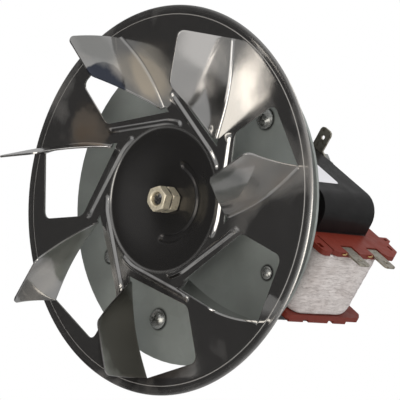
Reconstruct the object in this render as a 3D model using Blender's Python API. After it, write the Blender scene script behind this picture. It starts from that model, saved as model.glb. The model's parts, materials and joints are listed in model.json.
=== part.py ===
"""Oven fan motor: a pressed seven-blade wheel on the shaft of a C-frame shaded pole motor.

The shaft lies along Y with the wheel at the -Y end, and +Z is up. The origin is where the
shaft's axis meets the front face of the round mounting plate. The motor behind the plate is
turned about the shaft, so its pieces are drawn in bench axes (X towards the coil, Z across
the stack) under one empty that carries the turn. Lengths are in metres.
"""
import math

import bmesh
import bpy
import numpy as np
from mathutils import Vector
from mathutils.geometry import delaunay_2d_cdt

for old_object in list(bpy.data.objects):
    bpy.data.objects.remove(old_object, do_unlink=True)

# Running and seating clearance between neighbouring pieces
CLEAR = 0.0003

# Fan wheel, pressed from one steel disc
WHEEL_RADIUS = 0.075
WHEEL_SHEET = 0.0007
WHEEL_SETBACK = 0.0165
WHEEL_PHASE = math.radians(6.6)
BLADES = 7
RIM_BAND = 0.003
RIM_DROP = 0.0007
HUB_STEP_RADIUS = 0.0284
HUB_STEP_DROP = 0.0004
HUB_DEPTH = 0.0056
HUB_SEAT_RADIUS = 0.0085
GROOVE_RADIUS = 0.015
GROOVE_HALF_WIDTH = 0.0014
GROOVE_DEPTH = 0.0007
GROOVE_START = math.radians(-104)
GROOVE_END = math.radians(60)
FOLD_RADIUS = 0.0688
FOLD_LENGTH = 0.0382
FOLD_LEAN = math.radians(18.6)
BLADE_HEIGHT = 0.0262
BLADE_TIP = 0.0206
BLADE_CURVE = 0.092
BEND_RADIUS = 0.0016
BLADE_CORNER = 0.003
RIB_OFFSET = 0.0036
RIB_HALF_WIDTH = 0.0017
RIB_HEIGHT = 0.0010
RIB_TAIL = math.radians(21)

# Shaft, nuts and washers
SHAFT_RADIUS = 0.003
THREAD_RADIUS = 0.0025
THREAD_RECESS = 0.0012
NUT_FLATS = 0.009
NUT_HEIGHT = 0.0042
NUT_PHASE = math.radians(-20)
COLLAR_RADIUS = 0.006
COLLAR_LENGTH = 0.0022
SHAFT_OVERRUN = 0.0015

# Round mounting plate with its screws and studs
PLATE_RADIUS = 0.0635
PLATE_SHEET = 0.0012
PLATE_BORE = 0.007
PLATE_SCREW_OFFSET = 0.013
PLATE_SCREW_HEAD = 0.0039
PLATE_SCREW_DOME = 0.0026
M4_RADIUS = 0.002
M4_NUT_FLATS = 0.007
M4_NUT_HEIGHT = 0.0032
RECESS_ARM = 0.0023
RECESS_WIDTH = 0.0010
RECESS_DEPTH = 0.0015
STUD_CIRCLE = 0.0485
STUD_COUNT = 3
STUD_HEAD = 0.0026
STUD_DOME = 0.0011
STUD_LENGTH = 0.009

# Laminated stack and coil core, in bench axes
MOTOR_TURN = math.radians(37)
STACK_FRONT = 0.0245
STACK_LENGTH = 0.0305
STACK_HALF_WIDTH = 0.0298
STACK_HEEL = 0.024
HEEL_ROUND = 0.006
LEG_END = 0.041
LEG_ROUND = 0.009
LEG_WIDTH = 0.0138
WINDOW_HALF = STACK_HALF_WIDTH - LEG_WIDTH
WINDOW_START = 0.020
CORE_WIDTH = 0.014
ROTOR_SHARE = 0.45
ROTOR_RADIUS = ROTOR_SHARE * STACK_HALF_WIDTH
AIR_GAP = 0.00035
FRAME_SCREW_EDGE = 0.0053
FRAME_SCREW_ACROSS = STACK_HALF_WIDTH - FRAME_SCREW_EDGE
FOOT_MARGIN = 0.0038
FOOT_END = FRAME_SCREW_ACROSS + FOOT_MARGIN
SHADING_ANGLE = math.radians(135)
SHADING_CLEAR = 0.0034
SHADING_LENGTH = 0.0068
SHADING_INNER = ROTOR_RADIUS + SHADING_CLEAR
SHADING_OUTER = SHADING_INNER + SHADING_LENGTH
SHADING_WIRE = 0.001
SHADING_STANDOFF = 0.0016

# Rotor cage
CAGE_RING_LENGTH = 0.0028
CAGE_RING_STEP = 0.0006
CAGE_RING_SHARE = 0.625
CAGE_RING_OUTER = ROTOR_RADIUS - CAGE_RING_STEP
CAGE_RING_INNER = CAGE_RING_SHARE * CAGE_RING_OUTER

# Bearing bridges and the deep bracket that carries the plate
FOOT_THICK = 0.003
BRIDGE_WIDTH = 0.014
ARM_CLEARANCE = 0.0053
ARM_ROOT = FRAME_SCREW_ACROSS - ARM_CLEARANCE
ARM_THICK = 0.0032
BOSS_RADIUS = 0.009
BOSS_LENGTH = 0.010
BOSS_STANDOFF = 0.0025
BUSH_RADIUS = 0.0055
BRACKET_SHEET = 0.0015
BRACKET_HALF_WIDTH = 0.020
BRACKET_STANDOFF = 0.0087
BRACKET_WALL = STACK_HALF_WIDTH + BRACKET_STANDOFF
EAR_LENGTH = 0.014
EAR_END = BRACKET_WALL + EAR_LENGTH
EAR_HOLE_EDGE = 0.006
PLATE_SCREW_ACROSS = EAR_END - EAR_HOLE_EDGE
EARTH_SHEET = 0.0008
EARTH_WIDTH = 0.0063
EARTH_SHIFT = -0.0008
EARTH_REACH = 0.0094
EARTH_TOP = STACK_HALF_WIDTH + EARTH_REACH
EARTH_HOLE = 0.0009

# Bobbin, winding and terminals, in bench axes
BOBBIN_WALL = 0.0012
FLANGE_THICK = 0.002
FLANGE_SIDE = 0.024
FLANGE_END = 0.0555
FLANGE_INNER_MARGIN = 0.0052
FLANGE_CORNER = 0.005
FLANGE_LIP = 0.0014
FLANGE_LIP_START = 0.0435
FLANGE_LIP_SPAN = (0.0022, 0.0366)
LUG_START = 0.041
LUG_REACH = 0.0047
NOTCH_WIDTH = 0.0033
NOTCH_DEPTH = 0.0012
NOTCH_PLACES = (-0.0115, 0.0034)
EDGE_NOTCH_PLACE = 0.0069
EDGE_NOTCH_HALF = 0.0022
EDGE_NOTCH_DEPTH = 0.0019
POCKET_DEPTH = 0.0008
LOWER_FLANGE_CUT = 0.0024
WINDING_BUILD = 0.0044
WINDING_END_BUILD = 0.0123
WINDING_ROUND = 0.0055
WINDING_REAR_ROUND = 0.018
TERMINAL_WIDTH = 0.0063
TERMINAL_SHEET = 0.0008
TERMINAL_OUT = 0.0075
TERMINAL_REACH = FLANGE_END + TERMINAL_OUT
TERMINAL_SEATED = 0.005
TERMINAL_ROOT = FLANGE_END - TERMINAL_SEATED
TERMINAL_EYE = 0.0035
TERMINAL_PLACES = (-0.0060, 0.0096)
TERMINAL_SEAT = 0.0012


def material(name, colour, metallic, roughness):
    """A plain Principled material."""
    made = bpy.data.materials.new(name)
    made.use_nodes = True
    shader = made.node_tree.nodes["Principled BSDF"]
    shader.inputs["Base Color"].default_value = (*colour, 1.0)
    shader.inputs["Metallic"].default_value = metallic
    shader.inputs["Roughness"].default_value = roughness
    return made


POLISHED = material("polished_steel", (0.36, 0.35, 0.33), 1.0, 0.22)
GALVANISED = material("galvanised_steel", (0.42, 0.44, 0.43), 1.0, 0.45)
BRIGHT = material("bright_zinc_steel", (0.62, 0.60, 0.55), 1.0, 0.25)
SHAFT_STEEL = material("ground_steel", (0.45, 0.45, 0.45), 1.0, 0.25)
VARNISHED = material("black_varnished_iron", (0.015, 0.015, 0.016), 0.0, 0.38)
CAST = material("cast_aluminium", (0.55, 0.56, 0.57), 1.0, 0.5)
COPPER = material("copper", (0.72, 0.33, 0.18), 1.0, 0.35)
BRONZE = material("sintered_bronze", (0.42, 0.28, 0.14), 1.0, 0.55)
RED_NYLON = material("brick_red_nylon", (0.23, 0.035, 0.018), 0.0, 0.5)
TAPE = material("winding_tape", (0.68, 0.60, 0.57), 0.0, 0.75)
TINNED = material("tinned_brass", (0.62, 0.60, 0.53), 1.0, 0.35)

motor_frame = bpy.data.objects.new("motor_frame", None)
motor_frame.rotation_euler = (0.0, MOTOR_TURN, 0.0)
bpy.context.collection.objects.link(motor_frame)
rotor_axis = bpy.data.objects.new("rotor_axis", None)
bpy.context.collection.objects.link(rotor_axis)


def finish(bm, name, look, parent, smooth=30.0):
    """Turn a bmesh into a named object with its material, edges over `smooth` degrees sharp."""
    bmesh.ops.recalc_face_normals(bm, faces=bm.faces[:])
    mesh = bpy.data.meshes.new(name)
    bm.to_mesh(mesh)
    bm.free()
    mesh.materials.append(look)
    mesh.shade_smooth()
    mesh.set_sharp_from_angle(angle=math.radians(smooth))
    made = bpy.data.objects.new(name, mesh)
    bpy.context.collection.objects.link(made)
    made.parent = parent
    return made


def boolean(target, tool, operation):
    """Cut a tool object from the target, or join it on, and keep the tool out of the model."""
    tool.hide_render = True
    tool.display_type = "WIRE"
    step = target.modifiers.new(operation.lower(), "BOOLEAN")
    step.operation = operation
    step.object = tool
    step.solver = "EXACT"


def circle(radius, count, centre=(0.0, 0.0)):
    """Points of a circle in a plane, anticlockwise."""
    angles = np.arange(count) * 2 * math.pi / count
    return [(centre[0] + radius * math.cos(a), centre[1] + radius * math.sin(a)) for a in angles]


def rounded(points, radii, steps=4):
    """A polygon whose corners are arcs of the given radii, each of `steps` chords."""
    outline = []
    count = len(points)
    for index, radius in enumerate(radii):
        corner = np.array(points[index], float)
        before = np.array(points[index - 1], float) - corner
        after = np.array(points[(index + 1) % count], float) - corner
        if radius <= 0:
            outline.append(tuple(corner))
            continue
        before_way = before / np.linalg.norm(before)
        after_way = after / np.linalg.norm(after)
        half_angle = math.acos(float(np.clip(before_way @ after_way, -1, 1))) / 2
        reach = radius / math.tan(half_angle)
        middle_way = (before_way + after_way) / np.linalg.norm(before_way + after_way)
        centre = corner + middle_way * radius / math.sin(half_angle)
        first = corner + before_way * reach - centre
        last = corner + after_way * reach - centre
        turn = math.atan2(first[0] * last[1] - first[1] * last[0], float(first @ last))
        for step in range(steps + 1):
            a = turn * step / steps
            spoke = (first[0] * math.cos(a) - first[1] * math.sin(a),
                     first[0] * math.sin(a) + first[1] * math.cos(a))
            outline.append((centre[0] + spoke[0], centre[1] + spoke[1]))
    return outline


def slab(loops, low, high, axes="xzy"):
    """Extrude an outline with holes. The first two letters of axes are the outline's plane."""
    places = ["xyz".index(letter) for letter in axes]
    bm = bmesh.new()
    ends = []
    for level in (low, high):
        rings = []
        for loop in loops:
            verts = []
            for first, second in loop:
                point = [0.0, 0.0, 0.0]
                point[places[0]] = first
                point[places[1]] = second
                point[places[2]] = level
                verts.append(bm.verts.new(point))
            rings.append(verts)
        ends.append(rings)
    for rings in ends:
        edges = []
        for verts in rings:
            for here, there in zip(verts, verts[1:] + verts[:1]):
                edges.append(bm.edges.new((here, there)))
        bmesh.ops.triangle_fill(bm, use_beauty=True, use_dissolve=False, edges=edges)
    for lower, upper in zip(*ends):
        for index in range(len(lower)):
            after = (index + 1) % len(lower)
            bm.faces.new((lower[index], lower[after], upper[after], upper[index]))
    return bm


def skin(rows, closed, bm=None):
    """Quads between loops of equal length. Closed joins the last loop to the first, and
    otherwise the end loops are capped, or left as a point where a loop has no width."""
    if bm is None:
        bm = bmesh.new()
    made = [[bm.verts.new(point) for point in row] for row in rows]
    count = len(made[0])
    pairs = list(zip(made, made[1:]))
    if closed:
        pairs.append((made[-1], made[0]))
    for lower, upper in pairs:
        for index in range(count):
            after = (index + 1) % count
            bm.faces.new((lower[index], lower[after], upper[after], upper[index]))
    if not closed:
        bm.faces.new(made[0])
        bm.faces.new(made[-1])
    return bm


def turned(profile, segments=32):
    """Spin a profile of (radius, y) about Y. It runs from axis to axis, or closes on itself."""
    bm = bmesh.new()
    verts = [bm.verts.new((radius, y, 0.0)) for radius, y in profile]
    pairs = list(zip(verts, verts[1:]))
    if profile[0][0] > 0:
        pairs.append((verts[-1], verts[0]))
    edges = [bm.edges.new(pair) for pair in pairs]
    bmesh.ops.spin(bm, geom=verts + edges, cent=(0, 0, 0), axis=(0, 1, 0),
                   dvec=(0, 0, 0), angle=2 * math.pi, steps=segments, use_merge=True)
    bmesh.ops.remove_doubles(bm, verts=bm.verts[:], dist=1e-7)
    return bm


def moved(bm, x=0.0, y=0.0, z=0.0):
    """Shift a bmesh."""
    bmesh.ops.translate(bm, vec=(x, y, z), verts=bm.verts[:])
    return bm


def hex_nut(front, height, flats, bore, samples=12, phase=0.0):
    """A chamfered hexagon nut about Y, lofted between its six loops."""
    apothem = flats / 2
    angles = np.arange(samples) * 2 * math.pi / samples
    edge = apothem / np.cos((angles + math.pi / 6) % (math.pi / 3) - math.pi / 6)
    chamfer = (edge - apothem * 0.97) * math.tan(math.radians(30))
    loops = [(bore, front), (apothem * 0.97, front), (edge, front + chamfer),
             (edge, front + height - chamfer), (apothem * 0.97, front + height),
             (bore, front + height)]
    rows = []
    places = angles + phase
    for radius, y in loops:
        radius = np.broadcast_to(radius, angles.shape)
        y = np.broadcast_to(y, angles.shape)
        rows.append(np.stack([radius * np.cos(places), y, radius * np.sin(places)], 1).tolist())
    return skin(rows, closed=True)


# The wheel's shape in one sector: the fold's outer end lies on the sector's own X axis
SECTOR = 2 * math.pi / BLADES
FOLD_WAY = np.array([math.cos(FOLD_LEAN), math.sin(FOLD_LEAN)])
FOLD_SIDE = np.array([-FOLD_WAY[1], FOLD_WAY[0]])
FOLD_OUTER = np.array([FOLD_RADIUS, 0.0])
FOLD_INNER = FOLD_OUTER - FOLD_LENGTH * FOLD_WAY
WINDOW_OUTER = FOLD_OUTER + BLADE_HEIGHT * FOLD_SIDE
WINDOW_INNER = WINDOW_OUTER - BLADE_TIP * FOLD_WAY
HUB_SIDE_WAY = (WINDOW_INNER - FOLD_INNER) / np.linalg.norm(WINDOW_INNER - FOLD_INNER)
HUB_SIDE_IN = np.array([-HUB_SIDE_WAY[1], HUB_SIDE_WAY[0]])


def turn(points, angle):
    """Turn points of the wheel's plane anticlockwise, as seen from the front."""
    cosine = math.cos(angle)
    sine = math.sin(angle)
    points = np.asarray(points, float)
    return np.stack([points[..., 0] * cosine - points[..., 1] * sine,
                     points[..., 0] * sine + points[..., 1] * cosine], -1)


RIB_START = FOLD_INNER + RIB_OFFSET * HUB_SIDE_IN
RIB_END = WINDOW_INNER + RIB_OFFSET * HUB_SIDE_IN - 0.6 * RIB_OFFSET * HUB_SIDE_WAY


def between(first, last, steps):
    """Points on a straight line, both ends included."""
    shares = np.linspace(0, 1, steps + 1)[:, None]
    return (1 - shares) * np.asarray(first) + shares * np.asarray(last)


def arc(radius, first, last, steps):
    """Points on an arc about the shaft's axis, both ends included."""
    angles = np.linspace(first, last, steps + 1)
    return radius * np.stack([np.cos(angles), np.sin(angles)], -1)


def rib_path():
    """Centre line of one bead: an arc along the hub's step, then straight along the window."""
    knee = math.atan2(RIB_START[1], RIB_START[0])
    tail = arc(np.linalg.norm(RIB_START), knee - RIB_TAIL, knee, 4)
    return np.vstack([tail[:-1], between(RIB_START, RIB_END, 4)])


GROOVE_PATH = arc(GROOVE_RADIUS, GROOVE_START, GROOVE_END, 20)


def distance_to(path, points):
    """Distance from each point to a line of straight pieces."""
    nearest = np.full(points.shape[:-1], np.inf)
    for start, stop in zip(path, path[1:]):
        way = stop - start
        share = np.clip((points - start) @ way / (way @ way), 0, 1)
        nearest = np.minimum(nearest, np.linalg.norm(points - start - share[..., None] * way,
                                                     axis=-1))
    return nearest


def pressed(distance, half_width, height):
    """The section of a pressed line: sloping sides and a flat top of 40 percent of its width."""
    return height * np.clip((half_width - distance) / (half_width * 0.6), 0, 1)


def web_depth(points):
    """How far the pressed disc lies behind its flat web, as a function of the place."""
    radius = np.linalg.norm(points, axis=-1)
    rim = RIM_DROP * np.clip((radius - WHEEL_RADIUS + RIM_BAND) / RIM_BAND, 0, 1)
    step_width = 2 * HUB_STEP_DROP
    step = HUB_STEP_DROP * np.clip((HUB_STEP_RADIUS - radius) / step_width, 0, 1)
    share = (HUB_STEP_RADIUS - step_width - radius)
    share = np.clip(share / (HUB_STEP_RADIUS - step_width - HUB_SEAT_RADIUS), 0, 1)
    dish = (HUB_DEPTH - HUB_STEP_DROP) * share * share * (3 - 2 * share)
    groove = pressed(distance_to(GROOVE_PATH, points), GROOVE_HALF_WIDTH, GROOVE_DEPTH)
    rise = 0.0
    for blade in range(BLADES):
        local = turn(points, -WHEEL_PHASE - blade * SECTOR)
        rise = rise + pressed(distance_to(rib_path(), local), RIB_HALF_WIDTH, RIB_HEIGHT)
    return rim + step + dish + groove - rise


def outline_round(path, reach):
    """A closed line at the same distance all round a path, with two points at each end."""
    way = np.gradient(path, axis=0)
    way /= np.linalg.norm(way, axis=1)[:, None]
    side = np.stack([-way[:, 1], way[:, 0]], 1) * reach
    nose = path[-1] + 0.87 * reach * way[-1] + 0.5 * np.array([side[-1], -side[-1]])
    tail = path[0] - 0.87 * reach * way[0] + 0.5 * np.array([-side[0], side[0]])
    return np.vstack([path + side, nose, (path - side)[::-1], tail])


def window_outline(across):
    """One window of the web, anticlockwise from the fold's inner end along the fold."""
    fold_out = FOLD_OUTER - BEND_RADIUS * FOLD_SIDE
    fold_in = FOLD_INNER - BEND_RADIUS * FOLD_SIDE
    fold = between(fold_in, fold_out, across)
    rest = rounded([fold_out, WINDOW_OUTER, WINDOW_INNER, fold_in], [0, BLADE_CORNER,
                                                                     BLADE_CORNER, 0], 3)
    return fold, np.vstack([fold, np.array(rest)[1:-1]])


def blade_places(across):
    """One blade's rows from the fold to the free edge, as places across and heights."""
    bend_length = BEND_RADIUS * math.pi / 2
    free = BLADE_HEIGHT - bend_length + BEND_RADIUS
    corner = BLADE_CORNER
    climb = np.concatenate([np.array([0.2, 0.45, 0.7]) * free,
                            free - corner * (1 - np.sin(np.radians([0, 30, 60, 90])))])
    bend = np.radians([0, 30, 60, 90])
    side = np.concatenate([BEND_RADIUS * (np.sin(bend) - 1),
                           BLADE_CURVE * (1 - np.cos(climb / BLADE_CURVE))])
    rise = np.concatenate([BEND_RADIUS * (1 - np.cos(bend)),
                           BEND_RADIUS + BLADE_CURVE * np.sin(climb / BLADE_CURVE)])
    flat = np.concatenate([np.zeros(len(bend)), climb])
    over = np.clip(flat - free + corner, 0, corner)
    chord = np.sqrt(corner ** 2 - over ** 2)
    slope = (FOLD_LENGTH - BLADE_TIP) / free
    centre = FOLD_LENGTH - slope * (free - corner) - corner * math.sqrt(1 + slope ** 2)
    touch = free - corner + corner * slope / math.sqrt(1 + slope ** 2)
    inner_end = np.where(flat > touch, centre + chord, FOLD_LENGTH - slope * flat)
    outer_end = corner - chord
    shares = np.linspace(1, 0, across + 1)
    down = outer_end[:, None] + shares * (inner_end - outer_end)[:, None]
    return FOLD_OUTER - down[..., None] * FOLD_WAY + side[:, None, None] * FOLD_SIDE, rise


def wheel_mesh():
    """The wheel's middle surface: its web triangulated between its pressed lines, and the
    blades as grids that grow from the folds."""
    across = 6
    fold, window = window_outline(across)
    step_foot = HUB_STEP_RADIUS - 2 * HUB_STEP_DROP
    groove_out = GROOVE_RADIUS + 1.8 * GROOVE_HALF_WIDTH
    groove_in = GROOVE_RADIUS - 1.8 * GROOVE_HALF_WIDTH
    rings = [(THREAD_RADIUS + CLEAR, 14), (HUB_SEAT_RADIUS, 28), (groove_in, 28),
             (groove_out, 42), (0.5 * (groove_out + step_foot), 42), (step_foot, 56),
             (HUB_STEP_RADIUS, 56), (WHEEL_RADIUS - RIM_BAND, 84), (WHEEL_RADIUS, 84)]
    lines = [arc(radius, 0, 2 * math.pi, count)[:-1] for radius, count in rings]
    for width in (1.0, 0.4):
        lines.append(outline_round(GROOVE_PATH, width * GROOVE_HALF_WIDTH))
        for blade in range(BLADES):
            bead = outline_round(rib_path(), width * RIB_HALF_WIDTH)
            lines.append(turn(bead, WHEEL_PHASE + blade * SECTOR))
    for blade in range(BLADES):
        lines.append(turn(window, WHEEL_PHASE + blade * SECTOR))
    edges = []
    start = 0
    for line in lines:
        count = len(line)
        edges += [(start + index, start + (index + 1) % count) for index in range(count)]
        start += count
    points = [Vector(point) for point in np.vstack(lines)]
    points, edges, faces, *_ = delaunay_2d_cdt(points, edges, [], 0, 1e-7)
    points = np.array([tuple(point) for point in points])
    bm = bmesh.new()
    depth = web_depth(points) - WHEEL_SETBACK
    verts = [bm.verts.new((x, y, z)) for (x, z), y in zip(points, depth)]
    edge_way = np.roll(window, -1, 0) - window
    for face in faces:
        middle = points[face].mean(axis=0)
        if np.linalg.norm(middle) < THREAD_RADIUS + CLEAR:
            continue
        open_here = False
        for blade in range(BLADES):
            away = turn(middle, -WHEEL_PHASE - blade * SECTOR) - window
            side = edge_way[:, 0] * away[:, 1] - edge_way[:, 1] * away[:, 0]
            open_here = open_here or bool(np.all(side > 0))
        if not open_here:
            bm.faces.new([verts[index] for index in face])
    places, rise = blade_places(across)
    for blade in range(BLADES):
        angle = WHEEL_PHASE + blade * SECTOR
        turned_places = turn(places, angle)
        base = web_depth(turned_places[0]) * (1 - np.clip(rise / BEND_RADIUS, 0, 1))[:, None]
        depth = base - rise[:, None] - WHEEL_SETBACK
        grid = np.stack([turned_places[..., 0], depth, turned_places[..., 1]], -1)
        made = [[bm.verts.new(point) for point in row] for row in grid]
        for lower, upper in zip(made, made[1:]):
            for index in range(across):
                after = index + 1
                bm.faces.new((lower[index], lower[after], upper[after], upper[index]))
    bmesh.ops.remove_doubles(bm, verts=bm.verts[:], dist=2e-6)
    loose = [vert for vert in bm.verts if not vert.link_faces]
    bmesh.ops.delete(bm, geom=loose, context="VERTS")
    return bm


# Fan wheel: one pressed sheet, given its thickness at the end
fan_wheel = finish(wheel_mesh(), "fan_wheel", POLISHED, rotor_axis, 40)
wall = fan_wheel.modifiers.new("sheet", "SOLIDIFY")
wall.thickness = WHEEL_SHEET
wall.offset = 0.0
wall.use_even_offset = True
wall.thickness_clamp = 0.0

# Stations along the shaft
SEAT_Y = -WHEEL_SETBACK + HUB_DEPTH
SEAT_FRONT = SEAT_Y - WHEEL_SHEET / 2
SEAT_BACK = SEAT_Y + WHEEL_SHEET / 2
NUT_1_FRONT = SEAT_FRONT - CLEAR - NUT_HEIGHT
NUT_2_FRONT = NUT_1_FRONT - CLEAR - NUT_HEIGHT
COLLAR_FRONT = SEAT_BACK + CLEAR
STACK_REAR = STACK_FRONT + STACK_LENGTH
CAGE_FRONT = STACK_FRONT - CLEAR - CAGE_RING_LENGTH
CAGE_REAR = STACK_REAR + CLEAR + CAGE_RING_LENGTH
FRONT_BOSS_BACK = CAGE_FRONT - BOSS_STANDOFF
REAR_BOSS_FRONT = CAGE_REAR + BOSS_STANDOFF
REAR_BOSS_BACK = REAR_BOSS_FRONT + BOSS_LENGTH
SHAFT_END = REAR_BOSS_BACK + SHAFT_OVERRUN
NUT_BORE = THREAD_RADIUS + CLEAR
SHAFT_BORE = SHAFT_RADIUS + CLEAR

# Shaft with its threaded front end, a shoulder and a chamfered tail
thread_tip = NUT_2_FRONT + THREAD_RECESS
shaft_profile = [(0.0, thread_tip), (THREAD_RADIUS - 0.0004, thread_tip),
                 (THREAD_RADIUS, thread_tip + 0.0004), (THREAD_RADIUS, COLLAR_FRONT),
                 (SHAFT_RADIUS, COLLAR_FRONT + 0.0003), (SHAFT_RADIUS, SHAFT_END - 0.0004),
                 (SHAFT_RADIUS - 0.0004, SHAFT_END), (0.0, SHAFT_END)]
finish(turned(shaft_profile, 24), "shaft", SHAFT_STEEL, rotor_axis)

# Two thin nuts lock the wheel, and a turned collar behind it takes their thrust
for nut_name, nut_front in (("fan_nut", NUT_1_FRONT), ("lock_nut", NUT_2_FRONT)):
    nut = hex_nut(nut_front, NUT_HEIGHT, NUT_FLATS, NUT_BORE, 24, NUT_PHASE)
    finish(nut, nut_name, BRIGHT, rotor_axis, 20)
collar_back = COLLAR_FRONT + COLLAR_LENGTH
collar_start = COLLAR_FRONT + CLEAR
collar_profile = [(SHAFT_BORE, collar_start), (COLLAR_RADIUS - 0.0004, collar_start),
                  (COLLAR_RADIUS, collar_start + 0.0004), (COLLAR_RADIUS, collar_back),
                  (SHAFT_BORE, collar_back)]
finish(turned(collar_profile, 24), "wheel_collar", BRIGHT, rotor_axis)

# Rotor: the steel pack on the shaft and the two end rings of its cast cage
pack_profile = [(SHAFT_BORE, STACK_FRONT), (ROTOR_RADIUS, STACK_FRONT),
                (ROTOR_RADIUS, STACK_REAR), (SHAFT_BORE, STACK_REAR)]
finish(turned(pack_profile, 36), "rotor_pack", VARNISHED, rotor_axis)
for ring_name, ring_start in (("cage_ring_front", CAGE_FRONT),
                              ("cage_ring_rear", STACK_REAR + CLEAR)):
    ring_stop = ring_start + CAGE_RING_LENGTH
    ring_profile = [(CAGE_RING_INNER, ring_start), (CAGE_RING_OUTER, ring_start),
                    (CAGE_RING_OUTER, ring_stop), (CAGE_RING_INNER, ring_stop)]
    finish(turned(ring_profile, 28), ring_name, CAST, rotor_axis)
for washer_name, washer_start in (("thrust_washer_front", FRONT_BOSS_BACK + CLEAR),
                                  ("thrust_washer_rear", CAGE_REAR + CLEAR)):
    washer_stop = washer_start + BOSS_STANDOFF - 2 * CLEAR
    washer_profile = [(SHAFT_BORE, washer_start), (BUSH_RADIUS, washer_start),
                      (BUSH_RADIUS, washer_stop), (SHAFT_BORE, washer_stop)]
    finish(turned(washer_profile, 20), washer_name, RED_NYLON, rotor_axis)

# Round mounting plate: holes for the shaft, two screws and three studs
M4_HOLE = M4_RADIUS + CLEAR
SCREW_PLACES = [(PLATE_SCREW_OFFSET, side * PLATE_SCREW_ACROSS) for side in (1, -1)]
STUD_PLACES = [(STUD_CIRCLE * math.cos(index * 2 * math.pi / STUD_COUNT),
                STUD_CIRCLE * math.sin(index * 2 * math.pi / STUD_COUNT))
               for index in range(STUD_COUNT)]
plate_loops = [circle(PLATE_RADIUS, 80), circle(PLATE_BORE, 28)]
plate_loops += [circle(M4_HOLE, 12, place) for place in SCREW_PLACES + STUD_PLACES]
finish(slab(plate_loops, 0.0, PLATE_SHEET), "mounting_plate", GALVANISED, motor_frame)


def cross_recess(front, arm, width, depth):
    """The cutter of a cross recess: a plus-shaped prism that narrows towards its floor."""
    plus = [(arm, -width / 2), (arm, width / 2), (width / 2, width / 2), (width / 2, arm),
            (-width / 2, arm), (-width / 2, width / 2), (-arm, width / 2), (-arm, -width / 2),
            (-width / 2, -width / 2), (-width / 2, -arm), (width / 2, -arm),
            (width / 2, -width / 2)]
    narrow = 0.55
    rows = [[(x, front, z) for x, z in plus],
            [(x * narrow, front + depth, z * narrow) for x, z in plus]]
    return skin(rows, closed=False)


def pan_screw(name, head_back, dome, head_radius, shank_end, place):
    """A pan-head screw with a cross recess, its head in front of head_back."""
    top = head_back - dome
    profile = [(0.0, top), (head_radius * 0.45, top + dome * 0.08),
               (head_radius * 0.8, top + dome * 0.32), (head_radius, top + dome * 0.72),
               (head_radius, head_back), (M4_RADIUS, head_back),
               (M4_RADIUS, shank_end - 0.0005), (M4_RADIUS - 0.0005, shank_end),
               (0.0, shank_end)]
    screw = finish(moved(turned(profile, 20), place[0], 0, place[1]), name, BRIGHT, motor_frame)
    lead = 0.0003
    cutter = moved(cross_recess(top - lead, RECESS_ARM, RECESS_WIDTH, RECESS_DEPTH + lead),
                   place[0], 0, place[1])
    tool = finish(cutter, name + "_recess", BRIGHT, motor_frame)
    boolean(screw, tool, "DIFFERENCE")
    return screw


# Two pan-head screws hold the plate to the ears of the bracket, with nuts behind the ears
EAR_FRONT = PLATE_SHEET + CLEAR
EAR_BACK = EAR_FRONT + BRACKET_SHEET
for index, place in enumerate(SCREW_PLACES):
    number = str(index + 1)
    nut_front = EAR_BACK + CLEAR
    pan_screw("plate_screw_" + number, -CLEAR, PLATE_SCREW_DOME, PLATE_SCREW_HEAD,
              nut_front + M4_NUT_HEIGHT + 0.001, place)
    nut = hex_nut(nut_front, M4_NUT_HEIGHT, M4_NUT_FLATS, M4_HOLE)
    finish(moved(nut, place[0], 0, place[1]), "plate_nut_" + number, BRIGHT, motor_frame, 20)

# Three studs with low domed heads, by which the plate is fixed to the oven's wall
for index, place in enumerate(STUD_PLACES):
    stud_profile = [(0.0, -CLEAR - STUD_DOME), (STUD_HEAD * 0.5, -CLEAR - STUD_DOME * 0.86),
                    (STUD_HEAD * 0.85, -CLEAR - STUD_DOME * 0.45), (STUD_HEAD, -CLEAR),
                    (M4_RADIUS, -CLEAR), (M4_RADIUS, STUD_LENGTH - 0.0005),
                    (M4_RADIUS - 0.0005, STUD_LENGTH), (0.0, STUD_LENGTH)]
    stud = moved(turned(stud_profile, 16), place[0], 0, place[1])
    finish(stud, "plate_stud_" + str(index + 1), BRIGHT, motor_frame)

# Laminated stack: heel round the rotor, two legs towards the coil, bore and holes
BORE_RADIUS = ROTOR_RADIUS + AIR_GAP
stack_corners = [(-STACK_HEEL, -STACK_HALF_WIDTH), (LEG_END, -STACK_HALF_WIDTH),
                 (LEG_END, -WINDOW_HALF), (WINDOW_START, -WINDOW_HALF),
                 (WINDOW_START, WINDOW_HALF), (LEG_END, WINDOW_HALF),
                 (LEG_END, STACK_HALF_WIDTH), (-STACK_HEEL, STACK_HALF_WIDTH)]
stack_rounds = [HEEL_ROUND, LEG_ROUND, 0, 0, 0, 0, LEG_ROUND, HEEL_ROUND]
FRAME_PLACES = [(0.0, side * FRAME_SCREW_ACROSS) for side in (1, -1)]
shading_places = []
for turn_side in (0.0, math.pi):
    for reach in (SHADING_INNER, SHADING_OUTER):
        angle = SHADING_ANGLE + turn_side
        shading_places.append((reach * math.cos(angle), reach * math.sin(angle)))
stack_loops = [rounded(stack_corners, stack_rounds, 8), circle(BORE_RADIUS, 40)]
stack_loops += [circle(M4_HOLE, 12, place) for place in FRAME_PLACES]
stack_loops += [circle(SHADING_WIRE + CLEAR, 10, place) for place in shading_places]
finish(slab(stack_loops, STACK_FRONT, STACK_REAR), "stator_stack", VARNISHED, motor_frame)

# Coil core: the straight bar that closes the two legs inside the bobbin
CORE_START = LEG_END - CORE_WIDTH
core_half = WINDOW_HALF - CLEAR
core_corners = [(CORE_START, -core_half), (LEG_END, -core_half),
                (LEG_END, core_half), (CORE_START, core_half)]
finish(slab([core_corners], STACK_FRONT, STACK_REAR), "coil_core", VARNISHED, motor_frame)


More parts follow.
